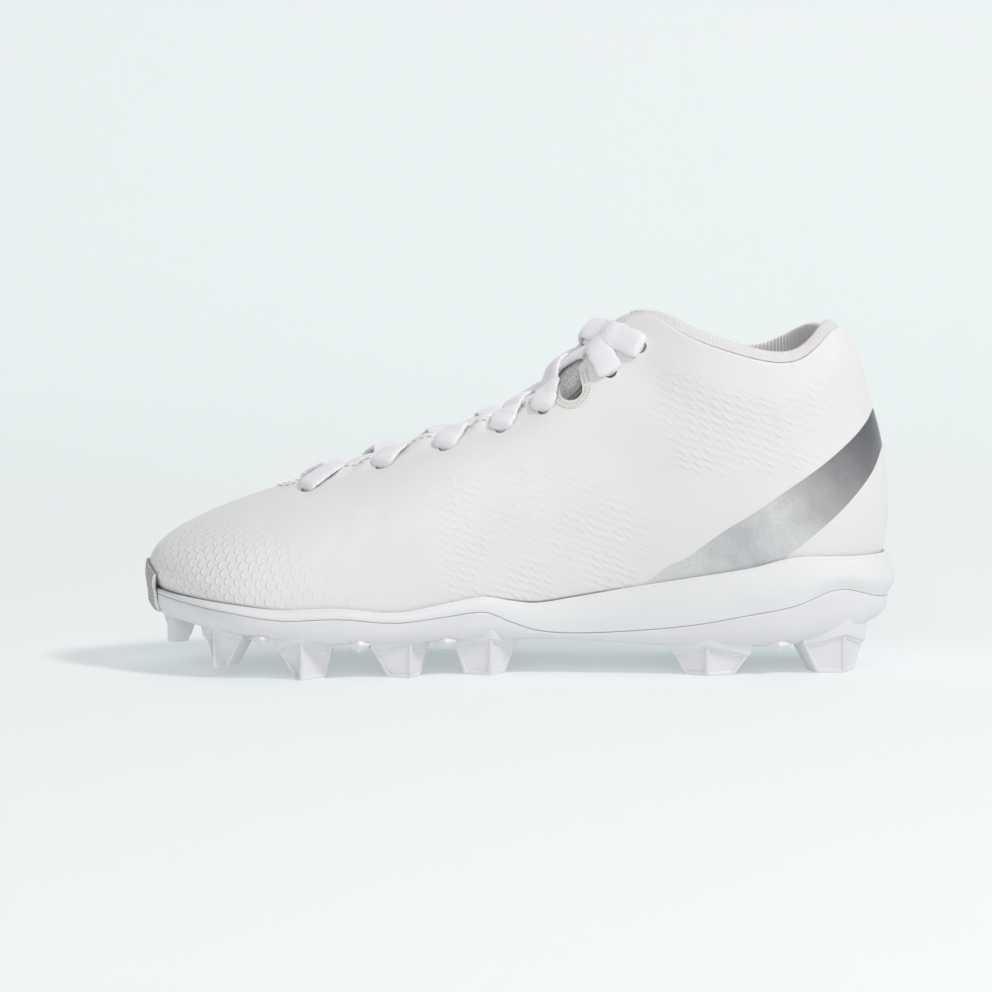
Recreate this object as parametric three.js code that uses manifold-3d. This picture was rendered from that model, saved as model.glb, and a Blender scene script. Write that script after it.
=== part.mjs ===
// American football cleat, mid cut, moulded studs: one right shoe, in millimetres.
// Frame: toe towards -X, heel towards +X, inner (medial) side -Y, outer (lateral) side +Y, +Z up.
// The shoe stands on its studs at z = 0, and the origin is the middle of its footprint.
import * as THREE from "three";
import { mergeVertices } from "three/addons/utils/BufferGeometryUtils.js";
import Module from "manifold-3d";

// Driving sizes
const LENGTH = 300; // toe bumper to the back of the midsole
const BALL_WIDTH = 104; // widest part of the midsole, across the ball of the foot
const INSTEP_HEIGHT = 142; // floor to the front corner of the collar
const HEEL_CUP_HEIGHT = 47.5; // floor to the top edge of the midsole at the heel
const WALL = 1.8; // upper: coated mesh and its backing
const GAP = 0.3; // between pieces that touch in the real shoe

const PLATE_RIM = 2.0; // thickness of the raised edge of the outsole plate
const PLATE_THICKNESS = 3.2; // of its floor
const MIDSOLE_WRAP = 1.2; // foam between the plate's rim and the upper
const MIDSOLE_LIP = 2.0; // thickness of the midsole's top edge beside the upper
const INSOLE_THICKNESS = 3.2;
const TONGUE_THICKNESS = 4;
const EDGE_LIFT = 1.0; // how far a lace is held off the eyestay's edge
const TRAY_LEAN = 0.8; // how far the tray's side leans in at its floor
const TONGUE_DROP = 1.6; // room for a lace between tongue and eyestay
const TONGUE_CROWN = 6; // rise of the tongue's middle over its edges, at the ankle
const TONGUE_WING = 12; // how far the tongue reaches under each eyestay
const TONGUE_RISE = 6; // how far the tongue stands past the collar corner
const COLLAR_PAD = 5; // thickness of the collar padding
const COLLAR_ROLL = 4.4; // how far the padding rolls up past the upper's edge
const COLLAR_START = 0.005; // bare share of the perimeter beside each throat corner
const COLLAR_FADE = 4; // sections over which the padding comes to its full size
const COLLAR_DEPTH = 30; // how far the padding reaches down inside
const LACE_WIDTH = 9;
const LACE_THICKNESS = 2.8;
const LACE_CLEAR = 1; // lace to the face that it crosses
const LACE_TURN = 0.1; // share of a crossing's way that the edge takes
const EYELET_DIAMETER = 5;
const EYELET_INSET = 11; // eyelet centre to the throat's edge, along the surface
const NOTCH_WIDTH = 9.5; // flex notch in the eyestay, in front of the ankle
const NOTCH_DEPTH = 24; // along the rib at its end
const BUMPER_THICKNESS = 1.8;
const BUMPER_WIDTH = 27;
const BUMPER_ASIDE = 1; // facets from the toe's middle to the bumper's, on the lateral side
const BUMPER_RISE = 12; // how far it stands past the plate's rim
const BUMPER_ROUND = 0.35; // how much lower it is at its ends, as a share of its rise
const BUMPER_BELLY = 0.9;
const STUD_BASE = 2.4; // how far a stud's base stands down from the plate
const STUD_STEP = 0.7; // step from the base in to the blade
const STUD_ARCH = 4; // how much higher the step stands at the ridge
const STUD_CREST_LIMIT = 0.8; // how near a ridge comes to a blade's end
const STUD_SKIN = 0.8; // depth of a stud's root under the face of the plate's wall
const NUB_SIZE = 8; // small diamond nubs between the studs

// Ribs of the upper, from the middle of the heel round the medial side to the toe and back along the
// lateral side. Each rises from the feather line (foot) to the collar or throat edge (top).
// x: share of LENGTH, towards the heel. y: share of BALL_WIDTH, towards the lateral side.
// top z, rise and drop: share of INSTEP_HEIGHT. flare and reach: share of BALL_WIDTH.
// face: direction in which the rib bulges, 0 heel, 90 medial, 180 toe, 270 lateral.
// prettier-ignore
const RIBS = [
  { footX:  0.473, footY:  0.000, topX:  0.437, topY:  0.004, topZ: 0.936, face:   0, flare: 0.118, rise: 0.185, reach: 0.108, drop: 0.21 },
  { footX:  0.440, footY: -0.195, topX:  0.418, topY: -0.140, topZ: 0.962, face:  38, flare: 0.100, rise: 0.185, reach: 0.105, drop: 0.22 },
  { footX:  0.360, footY: -0.307, topX:  0.370, topY: -0.252, topZ: 0.883, face:  74, flare: 0.060, rise: 0.190, reach: 0.060, drop: 0.24 },
  { footX:  0.262, footY: -0.317, topX:  0.290, topY: -0.300, topZ: 0.898, face:  88, flare: 0.045, rise: 0.200, reach: 0.045, drop: 0.27 },
  { footX:  0.158, footY: -0.285, topX:  0.208, topY: -0.255, topZ: 0.962, face:  92, flare: 0.045, rise: 0.210, reach: 0.070, drop: 0.27 },
  { footX:  0.050, footY: -0.268, topX:  0.142, topY: -0.162, topZ: 0.988, face:  98, flare: 0.060, rise: 0.215, reach: 0.150, drop: 0.20 },
  { footX: -0.065, footY: -0.318, topX:  0.045, topY: -0.158, topZ: 0.790, face: 108, flare: 0.065, rise: 0.185, reach: 0.185, drop: 0.085 },
  { footX: -0.180, footY: -0.400, topX: -0.060, topY: -0.135, topZ: 0.680, face: 116, flare: 0.065, rise: 0.165, reach: 0.245, drop: 0.065 },
  { footX: -0.290, footY: -0.430, topX: -0.160, topY: -0.114, topZ: 0.607, face: 126, flare: 0.060, rise: 0.150, reach: 0.270, drop: 0.065 },
  { footX: -0.396, footY: -0.375, topX: -0.252, topY: -0.094, topZ: 0.544, face: 146, flare: 0.085, rise: 0.135, reach: 0.340, drop: 0.088 },
  { footX: -0.468, footY: -0.105, topX: -0.303, topY: -0.025, topZ: 0.520, face: 180, flare: 0.190, rise: 0.128, reach: 0.450, drop: 0.102 },
  { footX: -0.437, footY:  0.140, topX: -0.264, topY:  0.055, topZ: 0.536, face: 210, flare: 0.090, rise: 0.135, reach: 0.350, drop: 0.092 },
  { footX: -0.365, footY:  0.310, topX: -0.204, topY:  0.090, topZ: 0.576, face: 232, flare: 0.065, rise: 0.150, reach: 0.285, drop: 0.075 },
  { footX: -0.260, footY:  0.410, topX: -0.130, topY:  0.106, topZ: 0.624, face: 243, flare: 0.065, rise: 0.160, reach: 0.265, drop: 0.070 },
  { footX: -0.140, footY:  0.440, topX: -0.052, topY:  0.130, topZ: 0.680, face: 252, flare: 0.065, rise: 0.175, reach: 0.240, drop: 0.075 },
  { footX: -0.015, footY:  0.410, topX:  0.046, topY:  0.156, topZ: 0.790, face: 260, flare: 0.060, rise: 0.190, reach: 0.205, drop: 0.090 },
  { footX:  0.105, footY:  0.365, topX:  0.138, topY:  0.164, topZ: 0.978, face: 266, flare: 0.060, rise: 0.215, reach: 0.150, drop: 0.20 },
  { footX:  0.215, footY:  0.338, topX:  0.222, topY:  0.258, topZ: 0.922, face: 271, flare: 0.050, rise: 0.210, reach: 0.070, drop: 0.27 },
  { footX:  0.318, footY:  0.322, topX:  0.315, topY:  0.292, topZ: 0.862, face: 277, flare: 0.045, rise: 0.195, reach: 0.050, drop: 0.26 },
  { footX:  0.420, footY:  0.235, topX:  0.396, topY:  0.212, topZ: 0.933, face: 312, flare: 0.085, rise: 0.185, reach: 0.090, drop: 0.23 },
];

// Levels of the sole along the shoe. at: share of LENGTH from the heel. The rest are shares of
// HEEL_CUP_HEIGHT: underside and rim of the plate, the midsole's edge, the bed that the foot lies on.
// prettier-ignore
const SOLE_LEVELS = [
  { at: 0.000, under: 0.440, rim: 0.570, edge: 0.975, bed: 0.800 },
  { at: 0.030, under: 0.375, rim: 0.605, edge: 0.975, bed: 0.800 },
  { at: 0.084, under: 0.288, rim: 0.712, edge: 0.992, bed: 0.788 },
  { at: 0.140, under: 0.240, rim: 0.590, edge: 1.000, bed: 0.770 },
  { at: 0.195, under: 0.228, rim: 0.520, edge: 0.915, bed: 0.740 },
  { at: 0.270, under: 0.222, rim: 0.430, edge: 0.830, bed: 0.700 },
  { at: 0.350, under: 0.240, rim: 0.375, edge: 0.742, bed: 0.640 },
  { at: 0.430, under: 0.275, rim: 0.352, edge: 0.650, bed: 0.570 },
  { at: 0.480, under: 0.280, rim: 0.380, edge: 0.606, bed: 0.530 },
  { at: 0.515, under: 0.280, rim: 0.455, edge: 0.632, bed: 0.505 },
  { at: 0.550, under: 0.280, rim: 0.540, edge: 0.670, bed: 0.485 },
  { at: 0.600, under: 0.280, rim: 0.512, edge: 0.622, bed: 0.465 },
  { at: 0.665, under: 0.280, rim: 0.474, edge: 0.560, bed: 0.450 },
  { at: 0.740, under: 0.285, rim: 0.515, edge: 0.604, bed: 0.455 },
  { at: 0.815, under: 0.320, rim: 0.505, edge: 0.592, bed: 0.475 },
  { at: 0.885, under: 0.370, rim: 0.570, edge: 0.635, bed: 0.525 },
  { at: 0.935, under: 0.410, rim: 0.622, edge: 0.668, bed: 0.570 },
  { at: 0.970, under: 0.430, rim: 0.655, edge: 0.692, bed: 0.605 },
  { at: 1.000, under: 0.450, rim: 0.660, edge: 0.702, bed: 0.630 },
];

// How far the sole stands out, at the same stations, in shares of BALL_WIDTH: the plate's underside
// from the feather line, its rim past what it must hold, and the midsole's fullest line past the rim.
// prettier-ignore
const SOLE_FLARES = [
  { at: 0.000, under: -0.090, rim: 0.018, full: 0.030 },
  { at: 0.070, under: -0.060, rim: 0.012, full: 0.022 },
  { at: 0.200, under: -0.050, rim: 0.004, full: 0.008 },
  { at: 0.350, under: -0.070, rim: 0.000, full: 0.004 },
  { at: 0.460, under: -0.070, rim: 0.000, full: 0.004 },
  { at: 0.560, under: -0.045, rim: 0.004, full: 0.002 },
  { at: 0.700, under: -0.030, rim: 0.006, full: 0.000 },
  { at: 0.850, under: -0.035, rim: 0.004, full: 0.000 },
  { at: 0.950, under: -0.050, rim: 0.000, full: 0.000 },
  { at: 1.000, under: -0.070, rim: 0.000, full: 0.000 },
];

// Studs of one side. at: share of LENGTH from the heel. inset, wide, deep, ridge and rake: shares of
// BALL_WIDTH. crest: where the ridge stands along the base, from -1 at the toe's end to 1 at the
// heel's. tip: width of the foot over the width of the base. rake: how far the foot lies heelwards.
// foot: height of the worn face over the floor, as a share of HEEL_CUP_HEIGHT. toeing: degrees.
// prettier-ignore
const STUDS = [
  { name: "heel_back",  at: 0.080, inset: 0.015, wide: 0.285, deep: 0.160, ridge: 0.050, crest:  0.16, tip: 0.59, rake:  0.012, foot: 0.000, toeing: 0 },
  { name: "heel_front", at: 0.247, inset: 0.012, wide: 0.300, deep: 0.150, ridge: 0.035, crest: -0.10, tip: 0.62, rake: -0.008, foot: 0.000, toeing: 0 },
  { name: "ball_back",  at: 0.543, inset: 0.015, wide: 0.248, deep: 0.160, ridge: 0.055, crest:  0.10, tip: 0.64, rake: -0.004, foot: 0.000, toeing: 0 },
  { name: "ball_mid",   at: 0.654, inset: 0.022, wide: 0.230, deep: 0.160, ridge: 0.055, crest:  0.26, tip: 0.57, rake:  0.020, foot: 0.000, toeing: 6 },
  { name: "ball_front", at: 0.779, inset: 0.022, wide: 0.226, deep: 0.150, ridge: 0.055, crest: -0.24, tip: 0.53, rake:  0.020, foot: 0.000, toeing: 12 },
  { name: "toe_side",   at: 0.897, inset: 0.016, wide: 0.180, deep: 0.140, ridge: 0.060, crest: -0.10, tip: 0.20, rake:  0.000, foot: 0.085, toeing: 0 },
  { name: "toe_tip",    at: 0.964, inset: 0.036, wide: 0.110, deep: 0.090, ridge: 0.024, crest:  0.10, tip: 0.54, rake:  0.000, foot: 0.235, toeing: 0 },
];
const STUD_TIP_DEEP = 0.62; // depth of a stud's foot over the depth of its base
const STUD_ROOT = 1.15; // width of a stud where it leaves the wall, over the width of its base
const NUBS = [{ at: 0.157 }, { at: 0.599 }, { at: 0.712 }, { at: 0.839 }];

// Eyelets, from the toe back. medial and lateral: share of the way round the perimeter.
// inset: share of EYELET_INSET. crossing: share of the throat, from the collar, at which its lace
// passes over the throat's edge.
// prettier-ignore
const EYELETS = [
  { medial: 0.4475, lateral: 0.5630, inset: 0.90, crossing: 0.800 },
  { medial: 0.4020, lateral: 0.6176, inset: 0.85, crossing: 0.600 },
  { medial: 0.3610, lateral: 0.6668, inset: 1.00, crossing: 0.430 },
  { medial: 0.3270, lateral: 0.7076, inset: 0.98, crossing: 0.310 },
  { medial: 0.3010, lateral: 0.7388, inset: 1.20, crossing: 0.215 },
  { medial: 0.2560, lateral: 0.7928, inset: 2.08, crossing: 0.095 },
  { medial: 0.2350, lateral: 0.8180, inset: 1.30, crossing: 0.055 },
];
// Flex notches: perimeter share of the mouth and of the end. inset: share of NOTCH_DEPTH.
const NOTCHES = [
  { mouth: 0.290, end: 0.2785, inset: 1 },
  { mouth: 0.752, end: 0.7658, inset: 1 },
];
// Tongue, from the collar's corners (0) to the throat's front (1): rise of its middle, room over it
// and reach under the eyestays, as shares of TONGUE_CROWN, TONGUE_DROP and TONGUE_WING.
// prettier-ignore
const TONGUE = [
  { at: 0.00, crown: 0.66, drop: 2.2, wing: 0.45 },
  { at: 0.13, crown: 1.15, drop: 1.7, wing: 0.70 },
  { at: 0.26, crown: 0.62, drop: 1.1, wing: 1.00 },
  { at: 0.40, crown: 0.26, drop: 1.0, wing: 1.00 },
  { at: 0.80, crown: 0.20, drop: 1.0, wing: 1.00 },
  { at: 1.00, crown: 0.08, drop: 1.0, wing: 1.00 },
];
const CORNERS = [0.250, 0.800]; // perimeter shares where collar and throat meet, medial and lateral
const THROAT_FRONT = [0.487, 0.513];

// How finely the faceted solids are cut
const AROUND = 68;
const TIGHTER = 0.35; // how much closer the facets lie at toe and heel
const UP = 9;
const NOTCH_STEPS = 6;
const TONGUE_STEPS = 14;
const LACE_STEPS = 7;

const clamp = (v, lo, hi) => Math.min(hi, Math.max(lo, v));
const mix = (a, b, t) => a + (b - a) * t;
const wrap = (u) => u - Math.floor(u);
const smooth = (t) => t * t * (3 - 2 * t);

// A smooth closed curve through evenly spaced values: a periodic cubic spline.
function closedSpline(values) {
  const n = values.length;
  const at = (list, i) => list[(i + n) % n];
  let bend = values.map(() => 0);
  for (let pass = 0; pass < 60; pass++) {
    bend = bend.map((_, i) => {
      const pull = 6 * (at(values, i - 1) - 2 * values[i] + at(values, i + 1));
      return (pull - at(bend, i - 1) - at(bend, i + 1)) / 4;
    });
  }
  return (u) => {
    const t = wrap(u) * n;
    const i = Math.floor(t) % n;
    const b = t - Math.floor(t);
    const a = 1 - b;
    const curve = (a ** 3 - a) * bend[i] + (b ** 3 - b) * at(bend, i + 1);
    return a * values[i] + b * at(values, i + 1) + curve / 6;
  };
}

// A smooth open curve through a table's rows, by their "at" column.
function tableCurve(rows, column) {
  const slope = (i) => {
    const lo = rows[Math.max(0, i - 1)];
    const hi = rows[Math.min(rows.length - 1, i + 1)];
    return (hi[column] - lo[column]) / (hi.at - lo.at);
  };
  return (s) => {
    const x = clamp(s, rows[0].at, rows[rows.length - 1].at);
    let i = 0;
    while (i < rows.length - 2 && x > rows[i + 1].at) i++;
    const [lo, hi] = [rows[i], rows[i + 1]];
    const span = hi.at - lo.at;
    const t = (x - lo.at) / span;
    const [t2, t3] = [t * t, t * t * t];
    return (
      (2 * t3 - 3 * t2 + 1) * lo[column] +
      (t3 - 2 * t2 + t) * span * slope(i) +
      (3 * t2 - 2 * t3) * hi[column] +
      (t3 - t2) * span * slope(i + 1)
    );
  };
}

const rib = {};
for (const column of Object.keys(RIBS[0])) {
  const turning = column === "face" ? 360 : 0;
  const still = closedSpline(RIBS.map((r, i) => r[column] - (turning * i) / RIBS.length));
  rib[column] = (u) => still(u) + turning * wrap(u);
}
const level = {};
for (const column of ["under", "rim", "edge", "bed"]) {
  const curve = tableCurve(SOLE_LEVELS, column);
  level[column] = (s) => curve(s) * HEEL_CUP_HEIGHT;
}
const flare = {};
for (const column of ["under", "rim", "full"]) {
  const curve = tableCurve(SOLE_FLARES, column);
  flare[column] = (s) => curve(s) * BALL_WIDTH;
}

// The feather line in plan, where upper and sole meet, and its outward normal.
const footX = (u) => rib.footX(u) * LENGTH;
const footY = (u) => rib.footY(u) * BALL_WIDTH;
const along = (u) => 0.5 - rib.footX(u);
function footNormal(u) {
  const step = 0.002;
  const dx = footX(u + step) - footX(u - step);
  const dy = footY(u + step) - footY(u - step);
  return new THREE.Vector3(-dy, dx, 0).normalize();
}
function solePoint(u, out, z) {
  const n = footNormal(u);
  return new THREE.Vector3(footX(u) + n.x * out, footY(u) + n.y * out, z);
}

// The outer face of the upper: u round the perimeter, w from the feather line (0) to the edge (1).
function upperPoint(u, w) {
  const face = (rib.face(u) * Math.PI) / 180;
  const out = new THREE.Vector3(Math.cos(face), -Math.sin(face), 0);
  const foot = new THREE.Vector3(footX(u), footY(u), level.bed(along(u)));
  const top = new THREE.Vector3(
    rib.topX(u) * LENGTH,
    rib.topY(u) * BALL_WIDTH,
    rib.topZ(u) * INSTEP_HEIGHT,
  );
  const low = foot.clone().addScaledVector(out, rib.flare(u) * BALL_WIDTH);
  low.z += rib.rise(u) * INSTEP_HEIGHT;
  const high = top.clone().addScaledVector(out, rib.reach(u) * BALL_WIDTH);
  high.z -= rib.drop(u) * INSTEP_HEIGHT;
  const v = 1 - w;
  return foot
    .multiplyScalar(v ** 3)
    .addScaledVector(low, 3 * v * v * w)
    .addScaledVector(high, 3 * v * w * w)
    .addScaledVector(top, w ** 3);
}
function upperNormal(u, w) {
  const step = 0.004;
  const [w0, w1] = [Math.max(0, w - step), Math.min(1.2, w + step)];
  const across = upperPoint(u + step, w).sub(upperPoint(u - step, w));
  const up = upperPoint(u, w1).sub(upperPoint(u, w0));
  return up.cross(across).normalize();
}
function upperOffset(u, w, out) {
  return upperPoint(u, w).addScaledVector(upperNormal(u, w), out);
}
// The share w at which a rib passes a height.
function shareAtHeight(u, z) {
  let [lo, hi] = [0, 0.6];
  for (let i = 0; i < 24; i++) {
    const mid = (lo + hi) / 2;
    if (upperPoint(u, mid).z < z) lo = mid;
    else hi = mid;
  }
  return (lo + hi) / 2;
}
function ribLength(u) {
  let sum = 0;
  let last = upperPoint(u, 0);
  for (let i = 1; i <= 12; i++) {
    const next = upperPoint(u, i / 12);
    sum += next.distanceTo(last);
    last = next;
  }
  return sum;
}
// The share w of a point that lies a distance in from the edge, along the rib.
const shareBelowEdge = (u, distance) => 1 - distance / ribLength(u);

// Perimeter shares of the facets, closer together at the toe and the heel.
const FACETS = Array.from({ length: AROUND }, (_, i) => {
  const t = i / AROUND;
  return t - (TIGHTER * Math.sin(4 * Math.PI * t)) / (4 * Math.PI);
});

// A closed solid from a list of rings of points: the rings are joined in turn, and the ends are
// joined to each other (around) or capped. Every ring has as many points as the others.
class Skin {
  constructor() {
    this.points = [];
    this.faces = [];
  }
  ring(points) {
    const first = this.points.length;
    this.points.push(...points);
    return points.map((_, i) => first + i);
  }
  band(a, b, closed = true) {
    const n = a.length;
    const last = closed ? n : n - 1;
    for (let i = 0; i < last; i++) {
      const j = (i + 1) % n;
      this.faces.push([a[i], a[j], b[j]], [a[i], b[j], b[i]]);
    }
  }
  // Caps a ring by strips between its two sides: index i pairs with index n - i.
  stripCap(ring, flip) {
    const n = ring.length;
    for (let i = 0; i < n / 2; i++) {
      const [a, b] = [ring[i], ring[i + 1]];
      const [c, d] = [ring[(n - i - 1) % n], ring[(n - i) % n]];
      for (const face of [[a, b, c], [a, c, d]]) {
        if (new Set(face).size === 3) this.faces.push(flip ? face.reverse() : face);
      }
    }
  }
  fanCap(ring, flip, hub = 0) {
    const n = ring.length;
    for (let i = 1; i < n - 1; i++) {
      const face = [ring[hub], ring[(hub + i) % n], ring[(hub + i + 1) % n]];
      this.faces.push(flip ? face.reverse() : face);
    }
  }
  geometry() {
    const flat = new Float32Array(this.points.length * 3);
    this.points.forEach((p, i) => flat.set([p.x, p.y, p.z], i * 3));
    const made = new THREE.BufferGeometry();
    made.setAttribute("position", new THREE.BufferAttribute(flat, 3));
    made.setIndex(this.faces.flat());
    return outward(mergeVertices(made, 1e-4));
  }
}
// Turns a closed geometry's faces outwards.
function outward(geometry) {
  const p = geometry.attributes.position;
  const index = geometry.index.array;
  const [a, b, c] = [new THREE.Vector3(), new THREE.Vector3(), new THREE.Vector3()];
  let volume = 0;
  for (let i = 0; i < index.length; i += 3) {
    a.fromBufferAttribute(p, index[i]);
    b.fromBufferAttribute(p, index[i + 1]);
    c.fromBufferAttribute(p, index[i + 2]);
    volume += a.dot(b.cross(c));
  }
  if (volume < 0) {
    for (let i = 0; i < index.length; i += 3) [index[i], index[i + 1]] = [index[i + 1], index[i]];
  }
  return geometry;
}

const wasm = await Module();
wasm.setup();
function toSolid(geometry) {
  const bare = geometry.clone();
  for (const name of Object.keys(bare.attributes)) {
    if (name !== "position") bare.deleteAttribute(name);
  }
  const merged = mergeVertices(bare, 1e-4);
  return new wasm.Manifold(
    new wasm.Mesh({
      numProp: 3,
      vertProperties: new Float32Array(merged.attributes.position.array),
      triVerts: new Uint32Array(merged.index.array),
    }),
  );
}
function toGeometry(solid) {
  const mesh = solid.getMesh();
  const made = new THREE.BufferGeometry();
  made.setAttribute("position", new THREE.BufferAttribute(mesh.vertProperties, 3));
  made.setIndex(new THREE.BufferAttribute(mesh.triVerts, 1));
  return made;
}

// Upper: outer and inner face, joined along the collar and throat edge and along the feather line.
function upperGeometry() {
  const skin = new Skin();
  const rings = [];
  for (let k = 0; k <= UP; k++) {
    rings.push(skin.ring(FACETS.map((u) => upperPoint(u, k / UP))));
  }
  for (let k = UP; k >= 0; k--) {
    rings.push(skin.ring(FACETS.map((u) => upperOffset(u, k / UP, -WALL))));
  }
  rings.forEach((r, i) => skin.band(r, rings[(i + 1) % rings.length]));
  let solid = toSolid(skin.geometry());
  for (const row of EYELETS) {
    for (const u of [row.medial, row.lateral]) {
      solid = solid.subtract(toSolid(eyeletPunch(u, row.inset)));
    }
  }
  for (const notch of NOTCHES) solid = solid.subtract(toSolid(notchPunch(notch)));
  return toGeometry(solid);
}
// A slot with a round end, cut square to the wall, from the throat's edge inwards.
function notchPunch({ mouth, end, inset }) {
  const start = upperPoint(mouth, 1);
  const wEnd = shareBelowEdge(end, inset * NOTCH_DEPTH);
  const axis = upperPoint(end, wEnd).sub(start);
  const length = axis.length();
  axis.normalize();
  const wMiddle = shareBelowEdge(end, 0.4 * inset * NOTCH_DEPTH);
  const side = axis.clone().cross(upperNormal(end, wMiddle)).normalize();
  const half = NOTCH_WIDTH / 2;
  const outline = new THREE.Shape();
  outline.moveTo(-length, -half);
  outline.absarc(length - half, 0, half, -Math.PI / 2, Math.PI / 2, false);
  outline.lineTo(-length, half);
  const punch = new THREE.ExtrudeGeometry(outline, {
    depth: 2 * NOTCH_DEPTH,
    bevelEnabled: false,
    curveSegments: NOTCH_STEPS,
  }).translate(0, 0, -NOTCH_DEPTH);
  const frame = new THREE.Matrix4().makeBasis(axis, side, axis.clone().cross(side));
  return punch.applyMatrix4(frame).translate(start.x, start.y, start.z);
}
function eyeletPlace(u, inset) {
  const w = shareBelowEdge(u, inset * EYELET_INSET);
  return { centre: upperPoint(u, w), normal: upperNormal(u, w) };
}
function eyeletPunch(u, inset) {
  const { centre, normal } = eyeletPlace(u, inset);
  const punch = new THREE.CylinderGeometry(EYELET_DIAMETER / 2, EYELET_DIAMETER / 2, 5 * WALL, 8);
  const turn = new THREE.Quaternion().setFromUnitVectors(new THREE.Vector3(0, 1, 0), normal);
  return punch.applyQuaternion(turn).translate(centre.x, centre.y, centre.z);
}

// A point beside the upper, at a height: the upper's own offset from the feather line, and more.
function upperStand(u, z) {
  const p = upperPoint(u, shareAtHeight(u, z));
  const n = footNormal(u);
  return (p.x - footX(u)) * n.x + (p.y - footY(u)) * n.y;
}
function rimInner(u) {
  const s = along(u);
  return upperStand(u, level.rim(s)) + MIDSOLE_WRAP + 2 * GAP + flare.rim(s);
}
const rimOuter = (u) => rimInner(u) + PLATE_RIM;
const ringOf = (skin, place) => skin.ring(FACETS.map(place));
function closeStack(skin, rings) {
  for (let i = 0; i < rings.length - 1; i++) skin.band(rings[i], rings[i + 1]);
  skin.stripCap(rings[0], true);
  skin.stripCap(rings[rings.length - 1], false);
  return skin.geometry();
}

// Outsole plate: a tray that cups the midsole, with a wall that leans out to its rim.
const WALL_STEPS = [
  { out: 0.0, up: 0.0 },
  { out: 0.60, up: 0.14 },
  { out: 0.84, up: 0.34 },
  { out: 0.97, up: 0.62 },
  { out: 1.0, up: 1.0 },
];
function wallPoint(u, { out, up }, extra) {
  const s = along(u);
  const z = mix(level.under(s), level.rim(s), up);
  return solePoint(u, mix(flare.under(s), rimOuter(u), out) + extra, z);
}
function wallOut(up) {
  const i = WALL_STEPS.findIndex((step, k) => k > 0 && step.up >= up);
  const [lo, hi] = [WALL_STEPS[i - 1], WALL_STEPS[i]];
  return mix(lo.out, hi.out, (up - lo.up) / (hi.up - lo.up));
}
function plateGeometry() {
  const skin = new Skin();
  const rings = WALL_STEPS.map((step) => ringOf(skin, (u) => wallPoint(u, step, 0)));
  rings.push(ringOf(skin, (u) => solePoint(u, rimInner(u), level.rim(along(u)))));
  return closeStack(skin, rings);
}
// Rings of the room for the midsole in the plate, from its floor to the rim.
function trayRings(skin, clearance) {
  const place = (share) => (u) => {
    const s = along(u);
    const height = level.rim(s) - level.under(s);
    const floorUp = PLATE_THICKNESS / height;
    const up = mix(floorUp, 1, share);
    const lean = TRAY_LEAN * (1 - share);
    const p = wallPoint(u, { out: wallOut(up), up }, -PLATE_RIM - clearance - lean);
    p.z += clearance * (1 - share);
    return p;
  };
  return [0, 0.35, 1].map((share) => ringOf(skin, place(share)));
}
function trayGeometry() {
  const skin = new Skin();
  const rings = trayRings(skin, 0);
  const above = (u) => solePoint(u, rimInner(u), level.rim(along(u)) + INSTEP_HEIGHT);
  rings.push(ringOf(skin, above));
  return closeStack(skin, rings);
}

// The perimeter share at which the feather line of one side passes a station.
function shareAlong(s, side) {
  let [lo, hi] = side < 0 ? [0, 0.5] : [1, 0.5];
  for (let i = 0; i < 30; i++) {
    const mid = (lo + hi) / 2;
    if (along(mid) < s) lo = mid;
    else hi = mid;
  }
  return (lo + hi) / 2;
}
// One stud: a chevron blade whose ridge faces outwards, on a wider base that runs up into the wall.
function studGeometry(stud, side) {
  const u = shareAlong(stud.at, side);
  const turned = (stud.toeing * Math.PI) / 180;
  const out = footNormal(u).applyAxisAngle(new THREE.Vector3(0, 0, 1), -side * turned);
  const heelward = new THREE.Vector3(-out.y, out.x, 0).multiplyScalar(-side);
  const [wide, deep, ridge] = [stud.wide, stud.deep, stud.ridge].map((v) => v * BALL_WIDTH);
  const tipOfRidge = rimOuter(u) - stud.inset * BALL_WIDTH;
  const base = level.under(stud.at) - STUD_BASE;
  const section = ({ across, depth = 1, outwards = 0, step = 0, z, arch = 0, rake = 0 }) => {
    const half = (wide * across) / 2 - step;
    const front = tipOfRidge + outwards - ridge;
    const back = front - deep * depth + step;
    const limit = half * STUD_CREST_LIMIT;
    const crest = clamp((stud.crest * wide) / 2 - rake, -limit, limit);
    const plan = [
      [-half, front - step * 0.5, 0],
      [crest, front + ridge - step, arch],
      [half, front - step * 0.5, 0],
      [half * 0.72, back, 0],
      [crest * 0.5, mix(front, back, 0.55), 0],
      [-half * 0.72, back, 0],
    ];
    return plan.map(([e, o, rise]) => {
      const foot = solePoint(u, 0, z + rise);
      return foot.addScaledVector(heelward, e + rake).addScaledVector(out, o);
    });
  };
  const lean = stud.inset * BALL_WIDTH - STUD_SKIN;
  const reach = (wide * STUD_ROOT) / 2 / LENGTH;
  const root = Math.min(...[-1, 0, 1].map((k) => level.rim(stud.at + k * reach))) - STUD_SKIN;
  const arch = Math.min(STUD_ARCH, root - base - STUD_BASE);
  const skin = new Skin();
  const rings = [
    section({ across: STUD_ROOT, outwards: lean, z: root }),
    section({ across: 1, z: base, arch }),
    section({ across: 1, step: STUD_STEP, z: base - STUD_STEP * 0.4, arch }),
    section({
      across: stud.tip,
      depth: STUD_TIP_DEEP,
      outwards: -STUD_STEP,
      z: stud.foot * HEEL_CUP_HEIGHT,
      rake: stud.rake * BALL_WIDTH,
    }),
  ].map((points) => skin.ring(points));
  for (let i = 0; i < rings.length - 1; i++) skin.band(rings[i], rings[i + 1]);
  skin.fanCap(rings[0], true, 4);
  skin.fanCap(rings[rings.length - 1], false, 4);
  return skin.geometry();
}
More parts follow.
